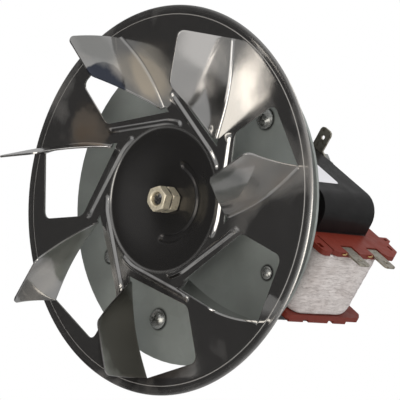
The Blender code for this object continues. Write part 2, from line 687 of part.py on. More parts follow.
def shading_ring(name, angle):
    """A closed loop of copper wire through two holes of the stack, round one pole edge."""
    low = STACK_FRONT - SHADING_STANDOFF
    high = STACK_REAR + SHADING_STANDOFF
    corners = [(SHADING_INNER, low), (SHADING_OUTER, low),
               (SHADING_OUTER, high), (SHADING_INNER, high)]
    bend = SHADING_STANDOFF - SHADING_WIRE / 2
    path = np.array(rounded(corners, [bend] * 4, 3))
    way = np.roll(path, -1, 0) - np.roll(path, 1, 0)
    way /= np.linalg.norm(way, axis=1)[:, None]
    out = np.stack([way[:, 1], -way[:, 0]], 1)
    rows = []
    for centre, normal in zip(path, out):
        row = []
        for a in np.arange(8) * math.pi / 4:
            reach = centre[0] + SHADING_WIRE * math.cos(a) * normal[0]
            y = centre[1] + SHADING_WIRE * math.cos(a) * normal[1]
            aside = SHADING_WIRE * math.sin(a)
            row.append((reach * math.cos(angle) - aside * math.sin(angle), y,
                        reach * math.sin(angle) + aside * math.cos(angle)))
        rows.append(row)
    return finish(skin(rows, closed=True), name, COPPER, motor_frame, 60)


shading_ring("shading_ring_1", SHADING_ANGLE)
shading_ring("shading_ring_2", SHADING_ANGLE + math.pi)


def bearing_bridge(name, foot_near, foot_far, boss_near, boss_far):
    """A cast bridge: two feet on the stack, two arms and a boss with the bush's seat."""
    away = 1 if boss_near > foot_near else -1
    arm_out = foot_far + away * 0.0060
    knee = ARM_ROOT - (BRIDGE_WIDTH - BOSS_RADIUS) / 2
    half = [(FOOT_END, foot_near), (FOOT_END, foot_far), (ARM_ROOT, foot_far),
            (knee, arm_out), (0.0, arm_out)]
    inner = [(0.0, arm_out - away * ARM_THICK), (knee - ARM_THICK * 0.55, arm_out - away * ARM_THICK),
             (ARM_ROOT - ARM_THICK * 0.9, foot_near)]
    outline = half[:-1] + [(-z, y) for z, y in reversed(half[:-1])]
    outline += [(-z, y) for z, y in reversed(inner[1:])] + inner[1:]
    bridge = finish(slab([outline], -BRIDGE_WIDTH / 2, BRIDGE_WIDTH / 2, "zyx"), name, CAST,
                    motor_frame)
    boss_profile = [(0.0, boss_near), (BOSS_RADIUS, boss_near), (BOSS_RADIUS, boss_far),
                    (0.0, boss_far)]
    boss = finish(turned(boss_profile, 28), name + "_boss", CAST, motor_frame)
    boolean(bridge, boss, "UNION")
    seat = BUSH_RADIUS + CLEAR
    span = (min(boss_near, boss_far) - 0.001, max(boss_near, boss_far) + 0.001)
    bore_profile = [(0.0, span[0]), (seat, span[0]), (seat, span[1]), (0.0, span[1])]
    bore = finish(turned(bore_profile, 24), name + "_bore", CAST, motor_frame)
    boolean(bridge, bore, "DIFFERENCE")
    low = min(foot_near, arm_out) - 0.02
    high = max(foot_near, arm_out) + 0.02
    for side, place in zip(("a", "b"), FRAME_PLACES):
        hole = finish(slab([circle(M4_HOLE, 12, place)], low, high), name + "_hole_" + side,
                      CAST, motor_frame)
        boolean(bridge, hole, "DIFFERENCE")
    return bridge


# Bearing bridges, front and rear, each with its bush
FRONT_FOOT_BACK = STACK_FRONT - CLEAR
FRONT_FOOT_FRONT = FRONT_FOOT_BACK - FOOT_THICK
EARTH_FRONT = STACK_REAR + CLEAR
EARTH_BACK = EARTH_FRONT + EARTH_SHEET
REAR_FOOT_FRONT = EARTH_BACK + CLEAR
REAR_FOOT_BACK = REAR_FOOT_FRONT + FOOT_THICK
bearing_bridge("front_bearing_bridge", FRONT_FOOT_BACK, FRONT_FOOT_FRONT,
               FRONT_BOSS_BACK, FRONT_BOSS_BACK - BOSS_LENGTH)
bearing_bridge("rear_bearing_bridge", REAR_FOOT_FRONT, REAR_FOOT_BACK,
               REAR_BOSS_FRONT, REAR_BOSS_BACK)
for bush_name, bush_start in (("front_bush", FRONT_BOSS_BACK - BOSS_LENGTH),
                              ("rear_bush", REAR_BOSS_FRONT)):
    bush_stop = bush_start + BOSS_LENGTH
    bush_profile = [(SHAFT_BORE, bush_start), (BUSH_RADIUS, bush_start),
                    (BUSH_RADIUS, bush_stop), (SHAFT_BORE, bush_stop)]
    finish(turned(bush_profile, 20), bush_name, BRONZE, motor_frame)


def bracket_section():
    """Half of the deep bracket's folded section, from the middle out to the ear's end."""
    base_back = FRONT_FOOT_FRONT - CLEAR
    base_front = base_back - BRACKET_SHEET
    outside = [(BRACKET_WALL, base_back), (BRACKET_WALL, EAR_BACK), (EAR_END, EAR_BACK)]
    inside = [(EAR_END, EAR_FRONT), (BRACKET_WALL - BRACKET_SHEET, EAR_FRONT),
              (BRACKET_WALL - BRACKET_SHEET, base_front)]
    return outside + inside


# Deep bracket: a folded steel strap between the front bridge and the plate
section = bracket_section()
bracket_outline = section + [(-z, y) for z, y in reversed(section)]
bend = BRACKET_SHEET
bracket_rounds = [bend * 2, bend, 0, 0, bend * 2, bend]
bracket_rounds += list(reversed(bracket_rounds))
bracket = finish(slab([rounded(bracket_outline, bracket_rounds, 3)],
                      -BRACKET_HALF_WIDTH, BRACKET_HALF_WIDTH, "zyx"),
                 "plate_bracket", GALVANISED, motor_frame)
opening_x = BOSS_RADIUS + 0.0015
opening_z = ARM_ROOT + 0.0010
opening = rounded([(-opening_x, -opening_z), (opening_x, -opening_z),
                   (opening_x, opening_z), (-opening_x, opening_z)], [0.003] * 4, 4)
bracket_cuts = [("opening", opening)]
bracket_cuts += [("base_hole_" + str(i), circle(M4_HOLE, 12, p)) for i, p in enumerate(FRAME_PLACES)]
bracket_cuts += [("ear_hole_" + str(i), circle(M4_HOLE, 12, p)) for i, p in enumerate(SCREW_PLACES)]
for cut_name, cut_loop in bracket_cuts:
    tool = finish(slab([cut_loop], -0.005, STACK_FRONT), "bracket_" + cut_name, GALVANISED,
                  motor_frame)
    boolean(bracket, tool, "DIFFERENCE")

# Earth tab: clamped under the rear bridge's foot, its blade standing past the stack
tab_left = EARTH_SHIFT - EARTH_WIDTH / 2
tab_right = EARTH_SHIFT + EARTH_WIDTH / 2
foot_half = BRIDGE_WIDTH / 2
tab_shoulder = STACK_HALF_WIDTH + 0.0008
foot_inner = ARM_ROOT - 0.0002
tab_corners = [(-foot_half, foot_inner), (foot_half, foot_inner),
               (foot_half, tab_shoulder - 0.002), (tab_right, tab_shoulder), (tab_right, EARTH_TOP),
               (tab_left, EARTH_TOP), (tab_left, tab_shoulder), (-foot_half, tab_shoulder - 0.002)]
tab_outline = rounded(tab_corners, [0.001, 0.001, 0.001, 0, 0.0016, 0.0016, 0, 0.001], 2)
tab_eye = (EARTH_SHIFT, STACK_HALF_WIDTH + 0.0055)
tab_loops = [tab_outline, circle(M4_HOLE, 12, FRAME_PLACES[0]), circle(EARTH_HOLE, 10, tab_eye)]
finish(slab(tab_loops, EARTH_FRONT, EARTH_BACK), "earth_tab", TINNED, motor_frame)

# A plain washer levels the rear bridge's other foot
washer_loops = [circle(M4_NUT_FLATS / 2 + 0.001, 20, FRAME_PLACES[1]),
                circle(M4_HOLE, 12, FRAME_PLACES[1])]
finish(slab(washer_loops, EARTH_FRONT, EARTH_BACK), "levelling_washer", BRIGHT, motor_frame)

# Two long screws clamp bracket, bridges and stack, with nuts at the rear
frame_head_back = FRONT_FOOT_FRONT - 2 * CLEAR - BRACKET_SHEET
for index, place in enumerate(FRAME_PLACES):
    number = str(index + 1)
    nut_front = REAR_FOOT_BACK + CLEAR
    pan_screw("frame_screw_" + number, frame_head_back, PLATE_SCREW_DOME, PLATE_SCREW_HEAD,
              nut_front + M4_NUT_HEIGHT + 0.0015, place)
    nut = hex_nut(nut_front, M4_NUT_HEIGHT, M4_NUT_FLATS, M4_HOLE)
    finish(moved(nut, place[0], 0, place[1]), "frame_nut_" + number, BRIGHT, motor_frame, 20)

# Bobbin: a square tube on the core between two flanges
STACK_MIDDLE = (STACK_FRONT + STACK_REAR) / 2
flange_out = WINDOW_HALF - CLEAR
flange_in = flange_out - FLANGE_THICK
core_gap = CLEAR
tube_near = CORE_START - core_gap
tube_far = LEG_END + core_gap
tube_low = STACK_FRONT - core_gap
tube_high = STACK_REAR + core_gap
hole = [(tube_near, tube_low), (tube_far, tube_low), (tube_far, tube_high), (tube_near, tube_high)]


def grown(rectangle, by, radius, steps=4):
    """A rectangle made larger on each side, with round corners."""
    (left, low), (right, high) = rectangle[0], rectangle[2]
    corners = [(left - by, low - by), (right + by, low - by),
               (right + by, high + by), (left - by, high + by)]
    return rounded(corners, [radius] * 4, steps)


flange_low = STACK_MIDDLE - FLANGE_SIDE
flange_high = STACK_MIDDLE + FLANGE_SIDE
flange_start = CORE_START - FLANGE_INNER_MARGIN
edge_notch = flange_low + EDGE_NOTCH_PLACE
last_terminal = STACK_MIDDLE + TERMINAL_PLACES[1] + TERMINAL_WIDTH / 2
lower_high = flange_high - LOWER_FLANGE_CUT
upper_corners = [(flange_start, flange_low), (FLANGE_END, flange_low),
                 (FLANGE_END, edge_notch - EDGE_NOTCH_HALF),
                 (FLANGE_END - EDGE_NOTCH_DEPTH, edge_notch),
                 (FLANGE_END, edge_notch + EDGE_NOTCH_HALF),
                 (FLANGE_END, last_terminal - 0.0006),
                 (FLANGE_END - 0.0028, last_terminal + 0.0001),
                 (FLANGE_END, last_terminal + EDGE_NOTCH_HALF),
                 (FLANGE_END, flange_high - FLANGE_CORNER),
                 (FLANGE_END - 0.8 * FLANGE_CORNER, flange_high + 0.0008),
                 (LUG_START + 0.0045, flange_high + 0.0016),
                 (LUG_START + 0.0025, flange_high + LUG_REACH),
                 (LUG_START, flange_high + LUG_REACH), (LUG_START, flange_high),
                 (flange_start, flange_high)]
upper_rounds = [0.002, 0.002, 0.0004, 0.0004, 0.0004, 0.0, 0.0, 0.0005, 0.002, 0.0015, 0.0008,
                0.0008, 0.0006, 0.0004, 0.002]
lower_corners = [(flange_start, flange_low), (FLANGE_END, flange_low),
                 (FLANGE_END, lower_high - 0.6 * FLANGE_CORNER),
                 (FLANGE_END - 0.6 * FLANGE_CORNER, lower_high), (flange_start, lower_high)]
lower_rounds = [0.002, 0.002, 0.0018, 0.0018, 0.002]
tube = slab([grown(hole, BOBBIN_WALL, 0.0012, 2), hole], -flange_in - 0.0005, flange_in + 0.0005, "xyz")
bobbin = finish(tube, "bobbin", RED_NYLON, motor_frame)
for flange_name, corners, rounds, side in (("upper", upper_corners, upper_rounds, 1),
                                           ("lower", lower_corners, lower_rounds, -1)):
    levels = sorted((side * flange_in, side * flange_out))
    flange = slab([rounded(corners, rounds, 3), hole], levels[0], levels[1], "xyz")
    tool = finish(flange, "bobbin_flange_" + flange_name, RED_NYLON, motor_frame)
    boolean(bobbin, tool, "UNION")
# A shallow rib under the lower flange, with two notches for the ends of the winding
lip_low = flange_low + FLANGE_LIP_SPAN[0]
lip_high = flange_low + FLANGE_LIP_SPAN[1]
lip_end = FLANGE_END - 0.0004
lip = [(FLANGE_LIP_START, lip_low), (lip_end, lip_low), (lip_end, lip_high),
       (FLANGE_LIP_START, lip_high)]
lip_tool = finish(slab([lip], -flange_out - FLANGE_LIP, -flange_out + 0.0005, "xyz"), "bobbin_lip",
                  RED_NYLON, motor_frame)
boolean(bobbin, lip_tool, "UNION")
for index, place in enumerate(NOTCH_PLACES):
    notch_low = STACK_MIDDLE + place - NOTCH_WIDTH / 2
    notch_high = STACK_MIDDLE + place + NOTCH_WIDTH / 2
    notch = [(FLANGE_LIP_START - 0.001, notch_low), (FLANGE_END + 0.001, notch_low),
             (FLANGE_END + 0.001, notch_high), (FLANGE_LIP_START - 0.001, notch_high)]
    level = -flange_out - FLANGE_LIP + NOTCH_DEPTH
    tool = finish(slab([notch], level - 0.003, level, "xyz"), "bobbin_notch_" + str(index),
                  RED_NYLON, motor_frame)
    boolean(bobbin, tool, "DIFFERENCE")

# Moulding pockets and a seam groove in the upper flange's outer face
pockets = [(FLANGE_END - 0.0043, flange_low + 0.0018, 0.0030, 0.0022),
           (FLANGE_END - 0.0055, edge_notch, 0.0120, 0.0008),
           (FLANGE_END - 0.0064, flange_high - 0.0014, 0.0030, 0.0012),
           (LUG_START + 0.0018, flange_high + 0.0022, 0.0014, 0.0016)]
for index, (along, across, length, width) in enumerate(pockets):
    pocket = [(along - length / 2, across - width / 2), (along + length / 2, across - width / 2),
              (along + length / 2, across + width / 2), (along - length / 2, across + width / 2)]
    tool = finish(slab([pocket], flange_out - POCKET_DEPTH, flange_out + 0.001, "xyz"),
                  "bobbin_pocket_" + str(index), RED_NYLON, motor_frame)
    boolean(bobbin, tool, "DIFFERENCE")

# Winding: the taped coil round the tube, fullest at its outer end, where the taped leads lie
winding_inner = grown(hole, BOBBIN_WALL + CLEAR, 0.0012, 5)
winding_half = flange_in - CLEAR
rows = []
for share, build in ((-1.0, 0.95), (-0.9, 0.99), (0.0, 1.0), (0.9, 0.99), (1.0, 0.95)):
    side_build = BOBBIN_WALL + CLEAR + WINDING_BUILD * build
    end_build = BOBBIN_WALL + CLEAR + WINDING_END_BUILD * (0.6 + 0.4 * build)
    corners = [(tube_near - side_build, tube_low - side_build),
               (tube_far + end_build, tube_low - side_build),
               (tube_far + end_build, tube_high + side_build),
               (tube_near - side_build, tube_high + side_build)]
    loop = rounded(corners, [WINDING_ROUND, WINDING_ROUND, WINDING_REAR_ROUND, WINDING_ROUND], 5)
    rows.append([(x, y, share * winding_half) for x, y in loop])
for share in (1.0, -1.0):
    rows.append([(x, y, share * winding_half) for x, y in winding_inner])
finish(skin(rows, closed=True), "coil_winding", TAPE, motor_frame, 45)

# Two flat terminals, seated in slots of the upper flange
for index, place in enumerate(TERMINAL_PLACES):
    centre = STACK_MIDDLE + place
    low = centre - TERMINAL_WIDTH / 2
    high = centre + TERMINAL_WIDTH / 2
    blade = [(TERMINAL_ROOT, low), (TERMINAL_REACH, low), (TERMINAL_REACH, high),
             (TERMINAL_ROOT, high)]
    outline = rounded(blade, [0.0, 0.0012, 0.0012, 0.0], 2)
    seat = flange_out - TERMINAL_SEAT
    eye = circle(0.0009, 10, (TERMINAL_REACH - TERMINAL_EYE, centre))
    terminal = slab([outline, eye], seat, seat + TERMINAL_SHEET, "xyz")
    finish(terminal, "terminal_" + str(index + 1), TINNED, motor_frame)
    slot = [(TERMINAL_ROOT - CLEAR, low - CLEAR), (FLANGE_END + 0.002, low - CLEAR),
            (FLANGE_END + 0.002, high + CLEAR), (TERMINAL_ROOT - CLEAR, high + CLEAR)]
    tool = finish(slab([slot], seat - CLEAR, flange_out + 0.001, "xyz"),
                  "bobbin_slot_" + str(index), RED_NYLON, motor_frame)
    boolean(bobbin, tool, "DIFFERENCE")
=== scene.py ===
"""Oven fan motor: a pressed fan wheel on the shaft of a C-frame shaded pole motor.

The shaft lies along Y with the wheel at the -Y end, +Z is up, and lengths are in metres. The
origin is where the shaft's axis meets the front face of the round mounting plate.
"""
import json
import math

import bmesh
import bpy
import numpy as np
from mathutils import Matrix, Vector

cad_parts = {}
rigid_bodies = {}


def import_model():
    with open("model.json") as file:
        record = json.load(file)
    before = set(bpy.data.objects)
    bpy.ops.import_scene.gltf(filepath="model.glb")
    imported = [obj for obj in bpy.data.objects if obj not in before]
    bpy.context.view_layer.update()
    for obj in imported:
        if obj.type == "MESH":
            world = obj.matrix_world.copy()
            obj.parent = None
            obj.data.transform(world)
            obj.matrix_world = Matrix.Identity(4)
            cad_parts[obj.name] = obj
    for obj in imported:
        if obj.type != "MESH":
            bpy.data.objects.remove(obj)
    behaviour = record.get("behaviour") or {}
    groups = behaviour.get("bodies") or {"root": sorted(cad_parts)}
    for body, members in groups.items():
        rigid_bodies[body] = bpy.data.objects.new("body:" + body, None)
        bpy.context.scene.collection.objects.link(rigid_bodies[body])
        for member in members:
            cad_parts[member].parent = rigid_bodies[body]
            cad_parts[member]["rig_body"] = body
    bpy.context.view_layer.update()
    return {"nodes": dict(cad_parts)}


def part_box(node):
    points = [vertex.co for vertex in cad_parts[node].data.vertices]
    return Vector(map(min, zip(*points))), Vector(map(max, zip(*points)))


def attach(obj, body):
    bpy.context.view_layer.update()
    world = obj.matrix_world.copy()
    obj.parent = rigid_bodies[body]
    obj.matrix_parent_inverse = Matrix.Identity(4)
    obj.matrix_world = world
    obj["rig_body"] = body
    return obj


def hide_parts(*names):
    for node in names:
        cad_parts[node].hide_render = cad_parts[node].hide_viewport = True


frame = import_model()

# The camera stands to the right of the wheel's face and a little under the shaft, on a long
# lens, and looks slightly upwards. Its focal length is given in widths of the sensor.
view_azimuth = math.radians(42.577)
view_elevation = math.radians(-5.417)
view_distance, view_focal = 0.930, 5.9735
view_shift_right, view_shift_up = -0.003227, -0.000879
ahead = Vector((-math.sin(view_azimuth) * math.cos(view_elevation),
                math.cos(view_azimuth) * math.cos(view_elevation),
                -math.sin(view_elevation)))
rightwards = ahead.cross(Vector((0.0, 0.0, 1.0))).normalized()
upwards = rightwards.cross(ahead)


def placed(name, data):
    """A new object of a mesh, a lamp or a camera, linked to the scene."""
    thing = bpy.data.objects.new(name, data)
    bpy.context.scene.collection.objects.link(thing)
    return thing


camera_data = bpy.data.cameras.new("camera")
camera_data.sensor_width = 36.0
camera_data.lens = view_focal * camera_data.sensor_width
camera_data.clip_start = 0.01
camera_data.clip_end = 20.0
camera = placed("camera", camera_data)
camera.location = -view_distance * ahead - view_shift_right * rightwards - view_shift_up * upwards
camera.rotation_euler = (math.pi / 2 - view_elevation, 0.0, view_azimuth)
bpy.context.scene.camera = camera
bpy.context.scene.view_settings.view_transform = "Standard"

# The studio: a white room, seen at full strength by the lens and by reflections, which lights
# everything else at a plainer level.
world = bpy.data.worlds.new("studio")
bpy.context.scene.world = world
world.use_nodes = True
room = world.node_tree
room.nodes.clear()


def fed(tree, kind, inputs, operation=None):
    """A new node, its sockets set to plain values or linked to the outputs that feed them."""
    node = tree.nodes.new(kind)
    if operation:
        node.operation = operation
    for socket, value in inputs.items():
        if isinstance(value, bpy.types.NodeSocket):
            tree.links.new(value, node.inputs[socket])
        else:
            node.inputs[socket].default_value = value
    return node


def maths(tree, operation, *terms):
    """The result of an operation on outputs or plain numbers."""
    return fed(tree, "ShaderNodeMath", dict(enumerate(terms)), operation).outputs[0]


room_rays = room.nodes.new("ShaderNodeLightPath").outputs
room_seen = maths(room, "MAXIMUM", room_rays["Is Camera Ray"], room_rays["Is Transmission Ray"])
room_shown = maths(room, "MAXIMUM", room_seen, room_rays["Is Glossy Ray"])
room_soft = fed(room, "ShaderNodeBackground", {"Color": (0.98, 0.99, 1.0, 1.0), "Strength": 0.62})
room_white = fed(room, "ShaderNodeBackground", {"Color": (1.0, 1.0, 1.0, 1.0), "Strength": 1.0})
room_mix = fed(room, "ShaderNodeMixShader",
               {0: room_shown, 1: room_soft.outputs[0], 2: room_white.outputs[0]})
fed(room, "ShaderNodeOutputWorld", {0: room_mix.outputs[0]})


def soft_lamp(name, place, width, power, tone, mirrored=True, height=None):
    """A lamp of the given width, square unless a height is given, that looks at the motor."""
    lamp = bpy.data.lights.new(name, "AREA")
    lamp.shape = "RECTANGLE"
    lamp.size = width
    lamp.size_y = height or width
    lamp.energy = power
    lamp.color = tone
    holder = placed(name, lamp)
    holder.location = place
    holder.rotation_euler = (-Vector(place)).to_track_quat("-Z", "Y").to_euler()
    holder.visible_camera = False
    holder.visible_glossy = mirrored


soft_lamp("lamp_low", (0.41, -0.74, -0.20), 0.64, 2.5, (1.0, 0.94, 0.86), height=0.52)
soft_lamp("lamp_side", (0.88, -0.26, -0.05), 0.30, 0.80, (1.0, 0.96, 0.92), height=0.42)
soft_lamp("lamp_high", (0.33, -0.70, 0.60), 0.26, 0.50, (1.0, 0.93, 0.84))
soft_lamp("lamp_front", (0.05, -0.90, 0.85), 0.8, 3.0, (1.0, 0.97, 0.93), False)
soft_lamp("lamp_right", (0.85, 0.05, 1.10), 0.8, 7.0, (1.0, 0.97, 0.93), False)
soft_lamp("lamp_top", (0.10, 0.40, 1.30), 0.7, 3.0, (1.0, 1.0, 1.0), False)

# The floor: a plain pale sheet below the motor, which hangs clear of it.
floor_half, floor_level = 4.0, -0.70
floor_corners = [(x * floor_half, y * floor_half, floor_level)
                 for x, y in ((-1, -1), (1, -1), (1, 1), (-1, 1))]
floor_mesh = bpy.data.meshes.new("floor")
floor_mesh.from_pydata(floor_corners, [], [(0, 1, 2, 3)])
floor = placed("floor", floor_mesh)
floor_paint = bpy.data.materials.new("floor_paint")
floor_paint.use_nodes = True
floor_shader = floor_paint.node_tree.nodes["Principled BSDF"]
floor_shader.inputs["Base Color"].default_value = (0.9, 0.9, 0.9, 1.0)
floor_shader.inputs["Roughness"].default_value = 0.9
floor_mesh.materials.append(floor_paint)

# Black cloths, as a photographer hangs and lays them for polished metal: one round the front
# left of the room and one on the floor. They thin out towards their edges, and only
# reflections show them.
cloth_black = bpy.data.materials.new("black_cloth")
cloth_black.use_nodes = True
cloth_tree = cloth_black.node_tree
cloth_shader = cloth_tree.nodes["Principled BSDF"]
cloth_shader.inputs["Base Color"].default_value = (0.022, 0.020, 0.019, 1.0)
cloth_shader.inputs["Roughness"].default_value = 1.0
cloth_shader.inputs["Specular IOR Level"].default_value = 0.0
cloth_place = cloth_tree.nodes.new("ShaderNodeTexCoord").outputs["Object"]
cloth_way = fed(cloth_tree, "ShaderNodeVectorMath", {0: cloth_place}, "NORMALIZE").outputs["Vector"]


def cloth_towards(way):
    """How nearly a place of the cloth lies in a direction from the motor, 1 where it does."""
    return fed(cloth_tree, "ShaderNodeVectorMath", {0: cloth_way, 1: Vector(way).normalized()},
               "DOT_PRODUCT").outputs["Value"]


cloth_share = fed(cloth_tree, "ShaderNodeMapRange",
                  {"Value": cloth_towards((-0.86, -0.50, 0.10)), "From Min": -1.0, "From Max": 1.0})
cloth_ramp = fed(cloth_tree, "ShaderNodeValToRGB", {"Fac": cloth_share.outputs["Result"]})
cloth_ramp.color_ramp.interpolation = "EASE"
cloth_stops = [(0.0, 0.40), (0.60, 0.56), (0.82, 0.62), (0.87, 0.78), (0.91, 0.90), (0.955, 0.964)]
while len(cloth_ramp.color_ramp.elements) < len(cloth_stops):
    cloth_ramp.color_ramp.elements.new(0.5)
for stop, (place, cover) in zip(cloth_ramp.color_ramp.elements, cloth_stops):
    stop.position = place
    stop.color = (cover, cover, cover, 1.0)
cloth_beside = fed(cloth_tree, "ShaderNodeMapRange",
                   {"Value": cloth_towards((0.835, -0.372, -0.407)), "From Min": 0.90,
                    "From Max": 0.96, "To Max": 0.93})
cloth_cover = maths(cloth_tree, "MAXIMUM", cloth_ramp.outputs["Color"],
                    cloth_beside.outputs["Result"])
cloth_clear = cloth_tree.nodes.new("ShaderNodeBsdfTransparent")
cloth_mix = fed(cloth_tree, "ShaderNodeMixShader",
                {"Fac": cloth_cover, 1: cloth_clear.outputs[0], 2: cloth_shader.outputs[0]})
cloth_tree.links.new(cloth_mix.outputs[0], cloth_tree.nodes["Material Output"].inputs["Surface"])


def grid_quads(rows, columns):
    """The quads of a grid whose points are numbered row by row."""
    index = np.arange(rows * columns).reshape(rows, columns)
    quads = np.stack([index[:-1, :-1], index[:-1, 1:], index[1:, 1:], index[1:, :-1]], -1)
    return quads.reshape(-1, 4)


def black_cloth(name, rows):
    """A sheet of black cloth between rows of points, which only reflections show."""
    mesh = bpy.data.meshes.new(name)
    mesh.from_pydata(rows.reshape(-1, 3).tolist(), [], grid_quads(*rows.shape[:2]).tolist())
    mesh.materials.append(cloth_black)
    cloth = placed(name, mesh)
    cloth.visible_camera = False
    cloth.visible_diffuse = False
    cloth.visible_transmission = False
    cloth.visible_shadow = False


cloth_radius = 1.9
cloth_angle = np.linspace(0.0, 2 * math.pi, 49)
cloth_rise = np.radians(np.linspace(-21.5, 89.9, 22))[:, None]
black_cloth("black_cloth_round",
            cloth_radius * np.stack([np.cos(cloth_rise) * np.cos(cloth_angle),
                                     np.cos(cloth_rise) * np.sin(cloth_angle),
                                     np.sin(cloth_rise) + 0 * cloth_angle], -1))
cloth_reach = np.linspace(0.001, 1.76, 20)[:, None]
black_cloth("black_cloth_floor",
            np.stack([cloth_reach * np.cos(cloth_angle), cloth_reach * np.sin(cloth_angle),
                      floor_level + 0.001 + 0 * cloth_reach * cloth_angle], -1))

# Stator stack and coil core: punched iron plates about half a millimetre thick, pressed and
# varnished satin black. The plates' edges show as fine lines round the stack.
motor_turn = math.radians(37.0)


def bench(points):
    """From the bench axes (towards the coil, along the shaft, across the stack) to the part's."""
    cosine, sine = math.cos(motor_turn), math.sin(motor_turn)
    return np.stack([points[..., 0] * cosine + points[..., 2] * sine, points[..., 1],
                     -points[..., 0] * sine + points[..., 2] * cosine], -1)


class Finish:
    """A node material on the piece's own Object coordinates, built up one texture at a time."""

    def __init__(self, name, colour, roughness, metallic=0.0):
        self.material = bpy.data.materials.new(name)
        self.material.use_nodes = True
        self.tree = self.material.node_tree
        self.shader = self.tree.nodes["Principled BSDF"]
        self.shader.inputs["Base Color"].default_value = (*colour, 1.0)
        self.shader.inputs["Roughness"].default_value = roughness
        self.shader.inputs["Metallic"].default_value = metallic
        self.colour = (*colour, 1.0)
        self.place = self.tree.nodes.new("ShaderNodeTexCoord").outputs["Object"]
        self.last_bump = None

    def set(self, socket, value):
        """A value that is the same all over the piece."""
        self.shader.inputs[socket].default_value = value

    def turned_place(self, stretch=(1.0, 1.0, 1.0), turn=(0.0, 0.0, 0.0), shift=(0.0, 0.0, 0.0)):
        """Object coordinates, turned and stretched."""
        mapping = fed(self.tree, "ShaderNodeMapping", {"Vector": self.place, "Scale": stretch,
                                                       "Rotation": turn, "Location": shift})
        return mapping.outputs["Vector"]

    def noise(self, scale, detail=3.0, roughness=0.55, distortion=0.0, **placing):
        """A cloudy pattern, `scale` cycles to the metre."""
        cloud = fed(self.tree, "ShaderNodeTexNoise",
                    {"Vector": self.turned_place(**placing), "Scale": scale, "Detail": detail,
                     "Roughness": roughness, "Distortion": distortion})
        return cloud.outputs["Fac"]

    def from_shaft(self):
        """Distance from the shaft's axis, in metres."""
        across = self.turned_place(stretch=(1.0, 0.0, 1.0))
        return fed(self.tree, "ShaderNodeVectorMath", {0: across}, "LENGTH").outputs["Value"]

    def along_shaft(self):
        """Place along the shaft, in metres."""
        return fed(self.tree, "ShaderNodeSeparateXYZ", {0: self.place}).outputs["Y"]

    def near(self, point, reach, waver, soft):
        """1 round a point, fading from `soft` of the reach to 0 at the reach, with an edge that
        wavers by `waver` metres."""
        away = fed(self.tree, "ShaderNodeVectorMath", {0: self.place, 1: point}, "DISTANCE")
        wander = self.ranged(self.noise(90.0, 3.0), 0.3, 0.7, -waver, waver)
        edge = maths(self.tree, "ADD", away.outputs["Value"], wander)
        return self.ranged(edge, soft * reach, reach, 1.0, 0.0)

    def cells(self, scale):
        """A pattern of grains, `scale` to the metre."""
        grain = fed(self.tree, "ShaderNodeTexVoronoi", {"Vector": self.place, "Scale": scale})
        return grain.outputs["Color"]

    def lines(self, scale, turn):
        """Even lines across the turned X axis, `scale` radians to the metre."""
        wave = fed(self.tree, "ShaderNodeTexWave",
                   {"Vector": self.turned_place(turn=turn), "Scale": scale})
        wave.wave_type = "BANDS"
        wave.bands_direction = "X"
        return wave.outputs["Fac"]

    def seams(self, source, width):
        """1 along the lines where the source is a half, fading to 0 at `width` from it."""
        away = maths(self.tree, "ABSOLUTE", maths(self.tree, "SUBTRACT", source, 0.5))
        return self.ranged(away, 0.0, width, 1.0, 0.0)

    def ranged(self, source, low, high, new_low, new_high):
        """The source from low to high, spread from new_low to new_high."""
        spread = fed(self.tree, "ShaderNodeMapRange",
                     {"Value": source, "From Min": low, "From Max": high,
                      "To Min": new_low, "To Max": new_high})
        return spread.outputs["Result"]

    def tint(self, source, colour, low, high, share=1.0):
        """Carry the base colour towards another, from none of it where the source is `low` to
        `share` of it where it is `high`."""
        mix = self.tree.nodes.new("ShaderNodeMix")
        mix.data_type = "RGBA"
        self.tree.links.new(self.ranged(source, low, high, 0.0, share), mix.inputs["Factor"])
        base = self.shader.inputs["Base Color"]
        if base.is_linked:
            self.tree.links.new(base.links[0].from_socket, mix.inputs["A"])
        else:
            mix.inputs["A"].default_value = self.colour
        mix.inputs["B"].default_value = (*colour, 1.0)
        self.tree.links.new(mix.outputs["Result"], base)

    def roughen(self, source, low, high, rough_low, rough_high):
        """Let the roughness follow the source."""
        self.tree.links.new(self.ranged(source, low, high, rough_low, rough_high),
                            self.shader.inputs["Roughness"])

    def bump(self, source, height, strength=1.0):
        """Raise the surface by `height` metres where the source is 1, on top of earlier bumps."""
        relief = fed(self.tree, "ShaderNodeBump",
                     {"Height": source, "Strength": strength, "Distance": height})
        if self.last_bump is not None:
            self.tree.links.new(self.last_bump, relief.inputs["Normal"])
        self.last_bump = relief.outputs["Normal"]
        self.tree.links.new(self.last_bump, self.shader.inputs["Normal"])


def finished(name, places, faces, finish, angle, inside_out=False):
    """An object of the faces in its finish, smooth but for the edges sharper than the angle.
    Faces that come inside out are turned round."""
    mesh = bpy.data.meshes.new(name)
    mesh.from_pydata(places.tolist(), [], faces)
    if inside_out:
        mesh.flip_normals()
    mesh.materials.append(finish.material)
    mesh.shade_smooth()
    mesh.set_sharp_from_angle(angle=math.radians(angle))
    return placed(name, mesh)


def eased(piece, name, width, angle):
    """Bevel the piece's edges that are sharper than the angle, in two steps."""
    ease = piece.modifiers.new(name, "BEVEL")
    ease.width = width
    ease.segments = 2
    ease.limit_method = "ANGLE"
    ease.angle_limit = math.radians(angle)


